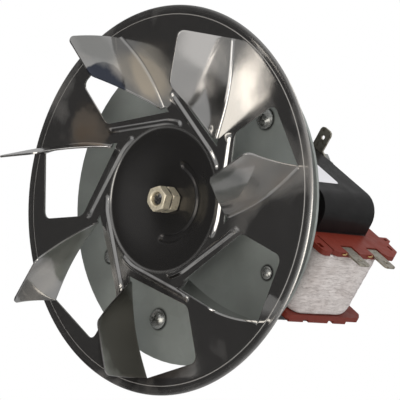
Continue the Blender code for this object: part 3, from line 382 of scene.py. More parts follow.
def dressed(node, finish, angle=32.0, edge=0.00012):
    """A merged copy of a CAD node with its edges eased and its round faces smooth, in its place."""
    source = frame["nodes"][node]
    count = len(source.data.vertices)
    places = np.empty(count * 3)
    source.data.vertices.foreach_get("co", places)
    places = places.reshape(-1, 3)
    keys, back = np.unique(np.round(places, 7), axis=0, return_inverse=True)
    corners = np.empty(len(source.data.loops), int)
    source.data.loops.foreach_get("vertex_index", corners)
    faces = back.reshape(-1)[corners].reshape(-1, 3)
    piece = finished(node + "_finished", keys, faces.tolist(), finish, angle)
    if edge > 0:
        eased(piece, "eased_edges", edge, angle)
    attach(piece, source["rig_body"])
    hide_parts(node)


def lofted(name, rows, finish, body, nodes, closed_rows=True, caps=False, angle=40.0):
    """Quads between rows of points, each row a closed loop. The rows close on themselves as a
    ring does, or their ends are capped."""
    row_count, point_count = rows.shape[:2]
    index = np.arange(row_count * point_count).reshape(row_count, point_count)
    lower = index if closed_rows else index[:-1]
    upper = np.roll(index, -1, 0) if closed_rows else index[1:]
    faces = np.stack([lower, np.roll(lower, -1, 1), np.roll(upper, -1, 1), upper], -1)
    faces = faces.reshape(-1, 4).tolist()
    if caps:
        faces += [index[0][::-1].tolist(), index[-1].tolist()]
    places = rows.reshape(-1, 3)
    piece = finished(name, places, faces, finish, angle, signed_volume(places, faces) < 0)
    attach(piece, body)
    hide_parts(*nodes)


def signed_volume(places, faces):
    """Volume inside a closed mesh, negative where its faces point inwards."""
    total = 0.0
    quads = np.array([face for face in faces if len(face) == 4], int)
    for a, b, c in ((0, 1, 2), (0, 2, 3)):
        total += np.einsum("ij,ij->i", places[quads[:, a]],
                           np.cross(places[quads[:, b]], places[quads[:, c]])).sum()
    for face in faces:
        if len(face) > 4:
            loop = places[face]
            middle = loop.mean(0)
            total += np.einsum("ij,ij->i", np.broadcast_to(middle, loop.shape),
                               np.cross(loop, np.roll(loop, -1, 0))).sum()
    return total / 6


stack_black = Finish("stack_varnish", (0.0062, 0.006, 0.0063), 0.34)
stack_black.set("Specular IOR Level", 0.22)
plates_per_metre, plates_turn = 1950.0, (0.0, 0.0, math.radians(-90.0))
stack_black.bump(stack_black.lines(plates_per_metre, plates_turn), 0.000025, 0.5)
stack_black.bump(stack_black.noise(900.0, 2.0), 0.00002, 0.5)
stack_black.roughen(stack_black.noise(160.0, 4.0), 0.35, 0.7, 0.30, 0.44)
stack_black.tint(stack_black.noise(60.0, 4.0), (0.014, 0.0135, 0.014), 0.5, 0.75, 0.8)
dressed("stator_stack", stack_black, edge=0.00025)
dressed("coil_core", stack_black, edge=0.00025)

# Bobbin: brick red nylon, moulded in one piece, with two flanges on a square tube.
bobbin_red = Finish("bobbin_nylon", (0.165, 0.021, 0.0105), 0.48)
bobbin_red.set("Specular IOR Level", 0.35)
bobbin_red.tint(bobbin_red.noise(160.0, 5.0), (0.15, 0.022, 0.014), 0.45, 0.72, 0.8)
bobbin_red.bump(bobbin_red.noise(2600.0, 2.0), 0.00002, 0.6)
bobbin_red.roughen(bobbin_red.noise(300.0, 3.0), 0.35, 0.7, 0.38, 0.55)
dressed("bobbin", bobbin_red, edge=0.00022)

# Winding: enamelled wire under a wrap of pale glass tape, fullest at the outer end, where the
# taped leads lie. The tape is matt and has dried into fine cracks along its turns.
winding_near, winding_far = 0.0208, 0.0551
winding_front, winding_rear = 0.0183, 0.0612
winding_half = 0.0134
winding_radii = (0.0055, 0.0055, 0.018, 0.0055)
bore_near, bore_far = 0.0252, 0.0428
bore_front, bore_rear = 0.0227, 0.0568
bore_radii = (0.0012,) * 4


def run(first, last, count):
    """Even points on a straight line."""
    share = np.linspace(0.0, 1.0, count)[:, None]
    return (1 - share) * first + share * last


def corner(before, tip, after, radius, count):
    """Even points on the arc that rounds a corner: the circle that touches both its sides."""
    a = (before - tip) / np.linalg.norm(before - tip)
    b = (after - tip) / np.linalg.norm(after - tip)
    half = math.acos(float(a @ b)) / 2
    centre = tip + (a + b) / np.linalg.norm(a + b) * radius / math.sin(half)
    start = tip + a * radius / math.tan(half) - centre
    end = tip + b * radius / math.tan(half) - centre
    turn = math.atan2(start[0] * end[1] - start[1] * end[0], float(start @ end))
    angle = math.atan2(start[1], start[0]) + np.linspace(0.0, 1.0, count) * turn
    return centre + radius * np.stack([np.cos(angle), np.sin(angle)], -1)


def even_loop(line, count):
    """Even points round a closed broken line, and the way out of it at each."""
    ring = np.vstack([line, line[:1]])
    marks = np.concatenate([[0.0], np.cumsum(np.linalg.norm(np.diff(ring, axis=0), axis=1))])
    pace = np.linspace(0.0, marks[-1], count, endpoint=False)
    loop = np.stack([np.interp(pace, marks, ring[:, axis]) for axis in (0, 1)], -1)
    ahead_way = np.roll(loop, -1, 0) - np.roll(loop, 1, 0)
    ahead_way /= np.linalg.norm(ahead_way, axis=1)[:, None]
    return loop, np.stack([ahead_way[:, 1], -ahead_way[:, 0]], -1)


def rounded_box(near, far, front, rear, radii):
    """A box's outline, anticlockwise, with its corners rounded by arcs."""
    corners = np.array([[near, front], [far, front], [far, rear], [near, rear]])
    return np.vstack([corner(corners[index - 1], corners[index], corners[(index + 1) % 4],
                             radii[index], 25) for index in range(4)])


def winding_surface():
    """The coil's skin: its rounded outline swept across the stack. The outside draws in with the
    16th power of the place across, and has shallow ridges of three pitches that wander with the
    sine of twice and five times the turn round the coil."""
    around = 420
    across = np.linspace(-1.0, 1.0, 150)
    outline = rounded_box(winding_near, winding_far, winding_front, winding_rear, winding_radii)
    loop, out = even_loop(outline, around)
    turn = np.arange(around) / around * 2 * math.pi
    wander = 0.00035 * np.sin(2 * turn + 0.6) + 0.0002 * np.sin(5 * turn)
    place = across[:, None] * winding_half + wander[None]
    ridge = sum(height * np.sin(place / pitch * 2 * math.pi + start + sway * np.sin(count * turn))
                for height, pitch, start, sway, count in ((0.000022, 0.00105, 0.0, 2.0, 7),
                                                          (0.000025, 0.0019, 1.0, 1.0, 4),
                                                          (0.000060, 0.0047, 2.0, 1.4, 3)))
    swell = -0.0006 * across[:, None] ** 16 + 0.00008 * np.sin(9 * turn)[None]
    outer = loop[None] + (ridge + swell - 0.0001)[..., None] * out[None]
    level = np.broadcast_to(across[:, None] * winding_half, ridge.shape)
    skin = np.stack([outer[..., 0], outer[..., 1], level], -1)
    bore = rounded_box(bore_near, bore_far, bore_front, bore_rear, bore_radii)
    bore_loop = even_loop(bore, around)[0]
    inside = np.stack([np.column_stack([bore_loop, np.full(around, side * winding_half)])
                       for side in (1.0, -1.0)])
    return bench(np.concatenate([skin, inside]))


winding_tape = Finish("winding_tape", (0.71, 0.665, 0.65), 0.84)
tape_turn = dict(turn=(0.0, math.radians(-37.0), 0.0))
winding_tape.tint(winding_tape.noise(120.0, 5.0, **tape_turn), (0.53, 0.475, 0.455), 0.42, 0.72, 0.9)
broken = winding_tape.noise(260.0, 2.0, shift=(0.2, 0.0, 0.1), stretch=(0.6, 0.6, 1.2), **tape_turn)
for pitch, thin, shade in ((170.0, 0.014, 0.55), (330.0, 0.018, 0.45), (560.0, 0.022, 0.40)):
    wrinkle = winding_tape.noise(pitch, 5.0, 0.62, 0.4, stretch=(0.30, 0.30, 3.2), **tape_turn)
    seam = winding_tape.seams(wrinkle, thin)
    winding_tape.tint(seam, (0.38, 0.325, 0.305), 0.15, 1.0, shade)
    winding_tape.bump(winding_tape.ranged(seam, 0.0, 1.0, 1.0, 0.0), 0.00008, 0.7)
winding_tape.bump(broken, 0.00030, 0.6)
winding_tape.bump(winding_tape.noise(1500.0, 4.0, stretch=(0.5, 0.5, 1.4), **tape_turn), 0.00008, 0.8)
lofted("coil_winding_wrapped", winding_surface(), winding_tape, "motor", ["coil_winding"])

# Terminals and earth tab: tinned brass blades, punched and lightly burred, brassy at the cuts.
tinned = Finish("tinned_brass", (0.52, 0.49, 0.42), 0.38, 1.0)
tinned.tint(tinned.noise(520.0, 5.0), (0.19, 0.15, 0.10), 0.50, 0.68, 0.85)
tinned.tint(tinned.noise(420.0, 4.0, shift=(0.3, 0.1, 0.2)), (0.45, 0.36, 0.19), 0.60, 0.78, 0.6)
tinned.roughen(tinned.noise(800.0, 4.0), 0.3, 0.7, 0.30, 0.52)
tinned.bump(tinned.noise(1200.0, 3.0, stretch=(1.0, 6.0, 1.0)), 0.00001, 0.6)
for tinned_piece in ("terminal_1", "terminal_2", "earth_tab"):
    dressed(tinned_piece, tinned, edge=0.00012)


def wire_end(place):
    """A short wire end beside a terminal: a round wire that curls by a little over half a turn,
    with its ends rounded off by the eighth power of the place along it."""
    steps, around, wire_radius = 20, 12, 0.00032
    swing = np.linspace(-0.25 * math.pi, 1.1 * math.pi, steps)
    path = np.stack([0.0006 * np.sin(swing), -0.00085 * np.cos(swing), 0.0002 * swing], -1)
    heading = np.gradient(path, axis=0)
    heading /= np.linalg.norm(heading, axis=1)[:, None]
    side = np.cross(heading, [0.0, 0.0, 1.0])
    side /= np.linalg.norm(side, axis=1)[:, None]
    lift = np.cross(side, heading)
    angle = (np.arange(around) / around * 2 * math.pi)[None, :, None]
    thick = wire_radius * np.sqrt(np.clip(1 - np.linspace(-0.98, 0.98, steps) ** 8, 0.05, 1.0))
    ring = np.cos(angle) * side[:, None] + np.sin(angle) * lift[:, None]
    return bench(np.asarray(place) + path[:, None] + thick[:, None, None] * ring)


brass_wire = Finish("brass_wire", (0.62, 0.44, 0.20), 0.32, 1.0)
for wire_name, wire_place in (("wire_end_1", (0.0556, 0.0281, 0.0149)),
                              ("wire_end_2", (0.0556, 0.0437, 0.0149))):
    lofted(wire_name, wire_end(wire_place), brass_wire, "motor", [],
           closed_rows=False, caps=True)

# Rating label: a bare white paper label, stuck on the flat of the stack.
label_near, label_far = 0.0052, 0.0272
label_front, label_rear = 0.0249, 0.0422
label_level = 0.02985
label_under, label_over = 0.00002, 0.00010


def label_sheet():
    """A thin flat sheet on the stack, whose corners are rounded by a superellipse."""
    around, power = 96, 0.16
    share = np.arange(around) / around * 2 * math.pi
    unit = np.stack([np.sign(np.cos(share)) * np.abs(np.cos(share)) ** power,
                     np.sign(np.sin(share)) * np.abs(np.sin(share)) ** power], -1)
    middle = np.array([(label_near + label_far) / 2, (label_front + label_rear) / 2])
    half = np.array([(label_far - label_near) / 2, (label_rear - label_front) / 2])
    rows = []
    for reach, level in ((0.001, label_under), (1.0, label_under), (1.0, label_over),
                         (0.001, label_over)):
        loop = middle + unit * half * reach
        rows.append(np.column_stack([loop, np.full(around, label_level + level)]))
    return bench(np.stack(rows))


label_paper = Finish("label_paper", (0.70, 0.70, 0.73), 0.42)
label_paper.tint(label_paper.noise(70.0, 3.0), (0.62, 0.62, 0.65), 0.45, 0.75, 0.6)
label_paper.bump(label_paper.noise(2200.0, 2.0), 0.00001, 0.5)
lofted("rating_label", label_sheet(), label_paper, "motor", [],
       closed_rows=False, caps=True)

# Shading rings: loops of thick copper wire through the poles.
copper = Finish("shading_copper", (0.80, 0.40, 0.24), 0.3, 1.0)
copper.roughen(copper.noise(600.0, 3.0), 0.3, 0.7, 0.22, 0.42)
copper.tint(copper.noise(200.0, 3.0), (0.42, 0.18, 0.10), 0.5, 0.75, 0.7)
for ring_name in ("shading_ring_1", "shading_ring_2"):
    dressed(ring_name, copper, angle=60.0, edge=0.0)

# Bearing bridges: die-cast aluminium arms with a boss, and an oiled bronze bush in each.
cast_metal = Finish("cast_bridge", (0.34, 0.345, 0.35), 0.52, 1.0)
cast_metal.bump(cast_metal.noise(1300.0, 4.0), 0.00005, 0.7)
cast_metal.roughen(cast_metal.noise(250.0, 4.0), 0.3, 0.7, 0.42, 0.6)
for bridge_name in ("front_bearing_bridge", "rear_bearing_bridge"):
    dressed(bridge_name, cast_metal, edge=0.0003)
for ring_name in ("cage_ring_front", "cage_ring_rear"):
    dressed(ring_name, cast_metal, edge=0.0002)
bush_bronze = Finish("bush_bronze", (0.42, 0.28, 0.14), 0.5, 1.0)
bush_bronze.bump(bush_bronze.noise(5000.0, 2.0), 0.00002, 0.6)
bush_bronze.tint(bush_bronze.noise(500.0, 3.0), (0.22, 0.14, 0.07), 0.5, 0.75, 0.7)
for bush_name in ("front_bush", "rear_bush"):
    dressed(bush_name, bush_bronze)

# Rotor: a pack of varnished plates between the rings of its cast cage, with nylon washers.
rotor_iron = Finish("rotor_iron", (0.10, 0.10, 0.105), 0.42, 0.6)
rotor_iron.bump(rotor_iron.lines(plates_per_metre, plates_turn), 0.00003, 0.6)
dressed("rotor_pack", rotor_iron)
for washer_name in ("thrust_washer_front", "thrust_washer_rear"):
    dressed(washer_name, bobbin_red)

# Mounting plate and its deep bracket: galvanised sheet, with a faint crystalline bloom and a
# dark ring of painted contact shadow round each screw and stud.
plate_zinc = Finish("plate_zinc", (0.42, 0.455, 0.435), 0.48, 0.55)
plate_zinc.tint(plate_zinc.cells(240.0), (0.37, 0.40, 0.382), 0.2, 0.9, 0.5)
plate_zinc.roughen(plate_zinc.noise(90.0, 4.0), 0.3, 0.7, 0.40, 0.55)
plate_zinc.tint(plate_zinc.noise(19.0, 2.0, shift=(0.3, 0.0, 0.1)), (0.21, 0.225, 0.212),
                0.42, 0.66, 0.8)
plate_zinc.bump(plate_zinc.noise(45.0, 2.0), 0.0002, 0.35)
plate_zinc.bump(plate_zinc.noise(1800.0, 2.0), 0.00001, 0.5)
plate_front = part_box("mounting_plate")[0].y
# Painted shade: a dark ring on the plate round each screw and stud head, standing in for its contact
# shadow.
for fixing in ("plate_screw_1", "plate_screw_2", "plate_stud_1", "plate_stud_2", "plate_stud_3"):
    head_low, head_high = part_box(fixing)
    head_place = ((head_low.x + head_high.x) / 2, plate_front, (head_low.z + head_high.z) / 2)
    shade = plate_zinc.near(head_place, (head_high.x - head_low.x) / 2 + 0.0010, 0.0, 0.80)
    plate_zinc.tint(shade, (0.018, 0.018, 0.018), 0.0, 1.0, 0.95)
dressed("mounting_plate", plate_zinc)
dressed("plate_bracket", plate_zinc)

# Fixings: bright zinc-plated screws, nuts, studs, washer and collar, slightly yellow in patches.
zinc = Finish("bright_zinc", (0.40, 0.41, 0.40), 0.30, 0.85)
zinc.tint(zinc.noise(700.0, 3.0), (0.36, 0.35, 0.32), 0.5, 0.75, 0.7)
zinc.roughen(zinc.noise(900.0, 3.0), 0.3, 0.7, 0.18, 0.34)
zinc.bump(zinc.noise(1500.0, 2.0), 0.00001, 0.5)
for fixing in ("plate_screw_1", "plate_screw_2", "frame_screw_1", "frame_screw_2",
               "plate_stud_1", "plate_stud_2", "plate_stud_3", "plate_nut_1", "plate_nut_2",
               "frame_nut_1", "frame_nut_2", "levelling_washer", "wheel_collar"):
    dressed(fixing, zinc, edge=0.0001)

# Shaft: a ground steel bar whose front end is threaded for the wheel's nuts.
shaft_steel = Finish("shaft_steel", (0.52, 0.51, 0.50), 0.22, 1.0)
shaft_steel.roughen(shaft_steel.noise(900.0, 3.0, stretch=(1.0, 0.1, 1.0)), 0.3, 0.7, 0.16, 0.32)
shaft_radius, shaft_bevel, shaft_point = 0.003, 0.0004, 0.00005
thread_radius, thread_length, thread_shoulder = 0.0025, 0.0085, 0.0003
thread_pitch, thread_depth = 0.0008, 0.00026


def shaft_surface():
    """A turned bar. In front its radius falls by a rounded saw of the place along the bar less
    the turn round it, which is a thread."""
    low, high = (end.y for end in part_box("shaft"))
    thread_end = low + thread_length
    stations = np.concatenate([[low, low], np.linspace(low + shaft_bevel, thread_end, 170),
                               [thread_end + thread_shoulder, high - shaft_bevel, high, high]])
    base = np.full(len(stations), thread_radius)
    base[:2] = [shaft_point, thread_radius - shaft_bevel]
    base[-4:] = [shaft_radius, shaft_radius, shaft_radius - shaft_bevel, shaft_point]
    angle = np.arange(48) / 48 * 2 * math.pi
    phase = (stations[:, None] / thread_pitch - angle[None] / (2 * math.pi)) % 1.0
    saw = np.abs(phase - 0.5) * 2
    threaded = (stations > low + 0.0002) & (stations < thread_end)
    radius = base[:, None] - np.where(threaded[:, None], thread_depth * saw, 0.0)
    y = np.broadcast_to(stations[:, None], radius.shape)
    return np.stack([radius * np.cos(angle), y, radius * np.sin(angle)], -1)


lofted("shaft_threaded", shaft_surface(), shaft_steel, "rotor", ["shaft"],
       closed_rows=False, caps=True, angle=50.0)

# Wheel nuts: two thin hexagon nuts locked against each other, zinc plated, chamfered, with a
# dark line of painted shade where they meet.
nut_flats, nut_bore, nut_bevel = 0.009, 0.0027, 0.00045
nut_phase = math.radians(-20.0)
nut_zinc = Finish("nut_zinc", (0.86, 0.78, 0.60), 0.26, 0.60)
nut_zinc.tint(nut_zinc.noise(900.0, 4.0), (0.50, 0.42, 0.29), 0.52, 0.72, 0.7)
nut_zinc.roughen(nut_zinc.noise(1100.0, 4.0), 0.3, 0.7, 0.26, 0.46)
nut_zinc.bump(nut_zinc.noise(2600.0, 3.0), 0.00002, 0.7)
nut_boxes = [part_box(nut_name) for nut_name in ("fan_nut", "lock_nut")]
nut_joint = max(min(high.y for low, high in nut_boxes), min(low.y for low, high in nut_boxes))
# Painted shade: a dark band round both nuts where they meet, standing in for the shadow in the gap
# between them.
joint_place = nut_zinc.ranged(nut_zinc.along_shaft(), nut_joint - 0.001, nut_joint + 0.001, 0.0, 1.0)
nut_zinc.tint(nut_zinc.seams(joint_place, 0.42), (0.05, 0.042, 0.034), 0.2, 0.6, 0.97)


def nut_surface(front, back):
    """A hexagon's radius at each angle, cut by a cone of 30 degrees at both faces."""
    apothem = nut_flats / 2
    angle = np.arange(120) / 120 * 2 * math.pi
    hexagon = apothem / np.cos((angle + math.pi / 6) % (math.pi / 3) - math.pi / 6)
    face = 0.96 * apothem
    grow = np.linspace(0.0, 1.0, 7)[:, None] * (hexagon.max() - face) + face
    chamfer = np.minimum(grow, hexagon[None])
    drop = (chamfer - face) * math.tan(math.radians(30.0))
    ring = np.ones_like(angle)[None]
    thick, mouth = back - front, nut_bore + nut_bevel
    radius = np.concatenate([nut_bore * ring, mouth * ring, (face - 0.0002) * ring, chamfer,
                             chamfer[::-1], mouth * ring, nut_bore * ring])
    depth = np.concatenate([nut_bevel * ring, 0.0 * ring, 0.0 * ring, drop + 0.00002,
                            thick - drop[::-1], thick * ring, (thick - nut_bevel) * ring])
    y = front + depth
    place = angle + nut_phase
    return np.stack([radius * np.cos(place), y, radius * np.sin(place)], -1)


for nut_name in ("fan_nut", "lock_nut"):
    nut_low, nut_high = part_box(nut_name)
    lofted(nut_name + "_turned", nut_surface(nut_low.y, nut_high.y), nut_zinc, "rotor", [nut_name],
           angle=24.0)

# Fan wheel: pressed in one piece from polished steel sheet. Seven blades are cut and bent
# forward out of their windows, seven beads stiffen the web, and the hub is dished back.
wheel_radius = 0.075
wheel_sheet = 0.0007
web_level = -0.0165
blade_count = 7
sector = 2 * math.pi / blade_count
wheel_phase = math.radians(6.6)
rim_crease, rim_roll, rim_drop = 0.0714, 0.0734, 0.0005
crease_width, crease_drop, rim_turn = 0.0004, 0.0001, 0.6
step_radius, step_drop = 0.0284, 0.0004
dish_depth, seat_radius = 0.0056, 0.0085
fold_sag = 0.0021
groove_radius, groove_half, groove_depth, groove_wall = 0.015, 0.0022, 0.0010, 0.0012
groove_from, groove_to = math.radians(-104.0), math.radians(60.0)
fold_lean = math.radians(18.6)
fold_length, blade_rise, blade_tip = 0.0382, 0.0262, 0.0206
relief_length, window_tip = 0.0028, 0.0218
bend_radius, blade_bow = 0.0016, 0.092
corner_outer, corner_inner = 0.003, 0.004
bead_offset, bead_half, bead_height = 0.0028, 0.0013, 0.0008
bead_tail = math.radians(13.0)
hub_bore = 0.0028
along_fold = np.array([math.cos(fold_lean), math.sin(fold_lean)])
off_fold = np.array([-along_fold[1], along_fold[0]])
fold_outer = np.array([0.0688, 0.0])
fold_inner = fold_outer - fold_length * along_fold
window_outer = fold_outer + blade_rise * off_fold
window_inner = window_outer - window_tip * along_fold
window_root = fold_inner - relief_length * along_fold
along_hub_side = (window_inner - window_root) / np.linalg.norm(window_inner - window_root)
off_hub_side = np.array([-along_hub_side[1], along_hub_side[0]])


def turned_flat(points, angle):
    """Points of the wheel's plane, turned anticlockwise about the shaft by one angle or by one
    for each point."""
    cosine, sine = np.cos(angle), np.sin(angle)
    return np.stack([points[..., 0] * cosine - points[..., 1] * sine,
                     points[..., 0] * sine + points[..., 1] * cosine], -1)


def distance_to_line(points, line):
    """Distance from each point to the nearest piece of a broken line."""
    start, way = line[:-1], np.diff(line, axis=0)
    away = points[..., None, :] - start
    share = np.clip((away * way).sum(-1) / (way * way).sum(-1), 0.0, 1.0)
    return np.linalg.norm(away - share[..., None] * way, axis=-1).min(-1)


def smooth(share):
    """0 up to 1 with level ends."""
    share = np.clip(share, 0.0, 1.0)
    return share * share * (3 - 2 * share)


bead_from = window_root + bead_offset * off_hub_side
bead_to = window_inner + bead_offset * off_hub_side - 0.6 * bead_offset * along_hub_side
bead_knee = math.atan2(bead_from[1], bead_from[0])
bead_arc = np.linspace(bead_knee - bead_tail, bead_knee, 14)
bead_line = np.vstack([np.linalg.norm(bead_from) * np.stack([np.cos(bead_arc), np.sin(bead_arc)], -1),
                       run(bead_from, bead_to, 10)[1:]])
groove_arc = np.linspace(groove_from, groove_to, 60)
groove_line = groove_radius * np.stack([np.cos(groove_arc), np.sin(groove_arc)], -1)


def web_back(points):
    """How far the sheet lies behind the flat web: the rim's turn, the hub's step and dish and
    the arc groove push it back, and the nearest bead's rounded ridge brings it forward."""
    radius = np.linalg.norm(points, axis=-1)
    rim = crease_drop * smooth((radius - rim_crease) / crease_width)
    roll = np.clip((radius - rim_roll) / (wheel_radius - rim_roll), 0.0, 1.0)
    turned = (1 - np.sqrt(1 - rim_turn * roll ** 2)) / (1 - math.sqrt(1 - rim_turn))
    rim = rim + (rim_drop - crease_drop) * turned
    step = step_drop * smooth((step_radius - radius) / (2 * step_drop))
    dish_from = step_radius - 2 * step_drop
    dish = (dish_depth - step_drop) * smooth((dish_from - radius) / (dish_from - seat_radius))
    away = distance_to_line(points, groove_line)
    groove = groove_depth * smooth((groove_half - away) / groove_wall)
    angle = np.arctan2(points[..., 1], points[..., 0]) - wheel_phase
    rise = 0.0
    for step_over in (-1, 0, 1):
        home = (np.round(angle / sector) + step_over) * sector + wheel_phase
        local = turned_flat(points, -home)
        near = np.clip(distance_to_line(local, bead_line) / bead_half, 0.0, 1.0)
        rise = rise + bead_height * (0.5 + 0.5 * np.cos(math.pi * near))
    return rim + step + dish + groove - rise


def sheet_point(flat, back):
    """A place of the wheel's plane at its depth along the shaft."""
    return np.stack([flat[..., 0], web_level + back, flat[..., 1]], -1)


def wheel_sheets():
    """The wheel's middle surface as four kinds of grid in each seventh: hub, rim, spoke and
    blade. Hub, rim and spoke are ruled between the window's edges, the fold and the circles,
    and the blade carries the fold round its bend and up a shallow arc."""
    side_count, spoke_count, fold_count, own_share = 28, 16, 41, 0.55
    fold_out = fold_outer - bend_radius * off_fold
    fold_in = fold_inner - bend_radius * off_fold
    root = window_root - bend_radius * off_fold
    fold_bulge = fold_sag * np.sin(math.pi * np.linspace(0.0, 1.0, fold_count))[:, None] * off_fold
    fold = run(fold_out, fold_in, fold_count) - fold_bulge
    arc_out = corner(fold_out, window_outer, window_inner, corner_outer, 9)
    arc_in = corner(window_outer, window_inner, root, corner_inner, 9)
    rim_side = np.vstack([run(fold_out, arc_out[0], side_count - 4)[:-1], arc_out[:5]])
    short_side = np.vstack([arc_out[4:-1], run(arc_out[-1], arc_in[0], fold_count - 4),
                            arc_in[1:5]])
    hub_side = np.vstack([run(root, arc_in[-1], side_count - 4)[:-1], arc_in[:3:-1]])
    next_fold = turned_flat(np.vstack([fold, run(fold_in, root, 5)[1:]]), sector)
    share = 0.5 - 0.5 * np.cos(math.pi * np.linspace(0.0, 1.0, spoke_count))[:, None, None]
    spoke = (1 - share) * short_side + share * next_fold
    hub_line = np.vstack([hub_side, spoke[1:-1, -1]])
    rim_line = np.vstack([rim_side, spoke[1:-1, 0]])

    def ruled(line, radii, first_radius, rows, turn=0.0):
        """Rows from a broken line to a circle, then on through the given radii. The circle's
        points lie between the line's own angles and even ones, and are turned by `turn`, which
        keeps quads whole where the line runs steeply inward."""
        own = np.unwrap(np.arctan2(line[:, 1], line[:, 0]))
        even = own[0] + sector * np.arange(len(line)) / len(line)
        angle = own_share * own + (1 - own_share) * (even + (own - even).mean()) + turn
        ring = np.stack([np.cos(angle), np.sin(angle)], -1)
        share = np.linspace(0.0, 1.0, rows)[:, None, None]
        flat = (1 - share) * line + share * first_radius * ring
        return np.concatenate([flat, np.asarray(radii)[:, None, None] * ring])

    # The hub's rings lie closest together across its step and its arc groove.
    hub_radii = np.concatenate([np.linspace(step_radius, step_radius - 2 * step_drop, 6)[1:],
                                np.linspace(0.0265, 0.0180, 11), np.linspace(0.0177, 0.0123, 24),
                                np.linspace(0.0119, seat_radius, 7),
                                np.linspace(0.0078, hub_bore, 6)])
    hub_turn = -0.12
    hub = ruled(hub_line, hub_radii, step_radius, 24, hub_turn)
    rim_radii = np.concatenate([np.linspace(rim_crease, rim_crease + crease_width, 5)[1:],
                                np.linspace(rim_roll, wheel_radius, 10)])
    rim = ruled(rim_line, rim_radii, rim_crease, 9)
    bend = np.radians(np.linspace(0.0, 90.0, 8))
    free = blade_rise - bend_radius * math.pi / 2 + bend_radius
    tip = 1 - np.sin(np.radians(np.linspace(0, 90, 9)))
    climb = np.concatenate([np.linspace(0.0, free - corner_inner, 12)[1:],
                            free - corner_inner * tip[1:]])
    flat_rise = np.concatenate([np.zeros(len(bend)), climb])
    lean = np.concatenate([bend_radius * (np.sin(bend) - 1),
                           blade_bow * (1 - np.cos(climb / blade_bow))])
    height = np.concatenate([bend_radius * (1 - np.cos(bend)),
                             bend_radius + blade_bow * np.sin(climb / blade_bow)])
    taper = (fold_length - blade_tip) / free
    over = np.clip(flat_rise - free + corner_outer, 0.0, corner_outer)
    outer_end = corner_outer - np.sqrt(corner_outer ** 2 - over ** 2)
    centre = fold_length - taper * (free - corner_inner) - corner_inner * math.sqrt(1 + taper ** 2)
    touch = free - corner_inner + corner_inner * taper / math.sqrt(1 + taper ** 2)
    over = np.clip(flat_rise - free + corner_inner, 0.0, corner_inner)
    inner_end = np.where(flat_rise > touch, centre + np.sqrt(corner_inner ** 2 - over ** 2),
                         fold_length - taper * flat_rise)
    share = np.linspace(0.0, 1.0, fold_count)
    down = outer_end[:, None] + share * (inner_end - outer_end)[:, None]
    blade = fold_outer - down[..., None] * along_fold + lean[:, None, None] * off_fold
    blade = blade - (1 - flat_rise / free)[:, None, None] * fold_bulge
    grids = []
    for number in range(blade_count):
        angle = wheel_phase + number * sector
        for flat in (hub, rim, spoke):
            place = turned_flat(flat, angle)
            grids.append(sheet_point(place, web_back(place)))
        place = turned_flat(blade, angle)
        foot = web_back(place[0]) * (1 - np.clip(height / bend_radius, 0.0, 1.0))[:, None]
        grids.append(sheet_point(place, foot - height[:, None]))
    return grids


def wheel_piece():
    """The grids as one mesh, with each seventh's hub and rim carried on to the next, and points
    that meet within 2 microns joined."""
    grids = wheel_sheets()
    places, faces, start = [], [], 0
    for number, grid in enumerate(grids):
        kind = number % 4
        if kind < 2:
            after = grids[(number + 4) % len(grids)][:, :1]
            grid = np.concatenate([grid, after], axis=1)
        quads = start + grid_quads(*grid.shape[:2])
        faces.append(quads[:, ::-1] if kind == 0 else quads)
        places.append(grid.reshape(-1, 3))
        start += len(places[-1])
    mesh = bpy.data.meshes.new("fan_wheel_pressed")
    mesh.from_pydata(np.vstack(places).tolist(), [], np.vstack(faces).tolist())
    joined = bmesh.new()
    joined.from_mesh(mesh)
    bmesh.ops.remove_doubles(joined, verts=joined.verts, dist=2e-6)
    joined.to_mesh(mesh)
    joined.free()
    return mesh


# The steel is polished and tarnished brown in clouds outside the hub. Its near black on the hub is
# painted reflection, and so are the lighter, darker and navy patches on the blades and the web and
# the brown patch on the web. A pale line of painted highlight follows the rim's crease.
hub_dark, hub_bright = 0.0272, 0.0288
wheel_steel = Finish("wheel_steel", (0.55, 0.545, 0.535), 0.15, 1.0)
wheel_tree = wheel_steel.tree
from_shaft = wheel_steel.from_shaft()
cloud = wheel_steel.noise(24.0, 4.0, 0.5, 0.4, shift=(0.02, 0.0, 0.01))
stain = maths(wheel_tree, "MULTIPLY", wheel_steel.ranged(cloud, 0.52, 0.72, 0.0, 1.0),
              wheel_steel.ranged(from_shaft, 0.036, 0.048, 0.0, 1.0))
wheel_steel.tint(stain, (0.17, 0.125, 0.09), 0.0, 1.0, 0.75)
# Painted reflections: lighter, darker and navy patches on the blades and the web, tinted into the
# steel where its mirror image of the surroundings falls.
for painted_reflection_centre, reach, waver, soft, tone, share in (
        ((-0.0100, -0.0373, 0.0450), 0.0092, 0.0012, 0.9, (0.022, 0.032, 0.062), 0.90),
        ((-0.0417, -0.0165, 0.0301), 0.0130, 0.0050, 0.6, (0.78, 0.70, 0.61), 0.90),
        ((0.0326, -0.0360, 0.0500), 0.0190, 0.0030, 0.6, (0.80, 0.775, 0.745), 0.85),
        ((-0.0070, -0.0200, 0.0500), 0.0150, 0.0020, 0.6, (0.86, 0.80, 0.71), 0.85),
        ((-0.0197, -0.0345, 0.0600), 0.0120, 0.0020, 0.6, (0.40, 0.40, 0.385), 0.85),
        ((0.0491, -0.0390, 0.0008), 0.0130, 0.0020, 0.6, (0.27, 0.275, 0.27), 0.85),
        ((-0.0429, -0.0297, -0.0181), 0.0120, 0.0030, 0.6, (0.30, 0.295, 0.27), 0.85),
        ((-0.0525, -0.0316, -0.0302), 0.0120, 0.0020, 0.6, (0.72, 0.69, 0.65), 0.85),
        ((-0.0123, -0.0258, -0.0518), 0.0270, 0.0040, 0.6, (0.115, 0.10, 0.086), 0.90)):
    wheel_steel.tint(wheel_steel.near(painted_reflection_centre, reach, waver, soft), tone, 0.0, 1.0, share)
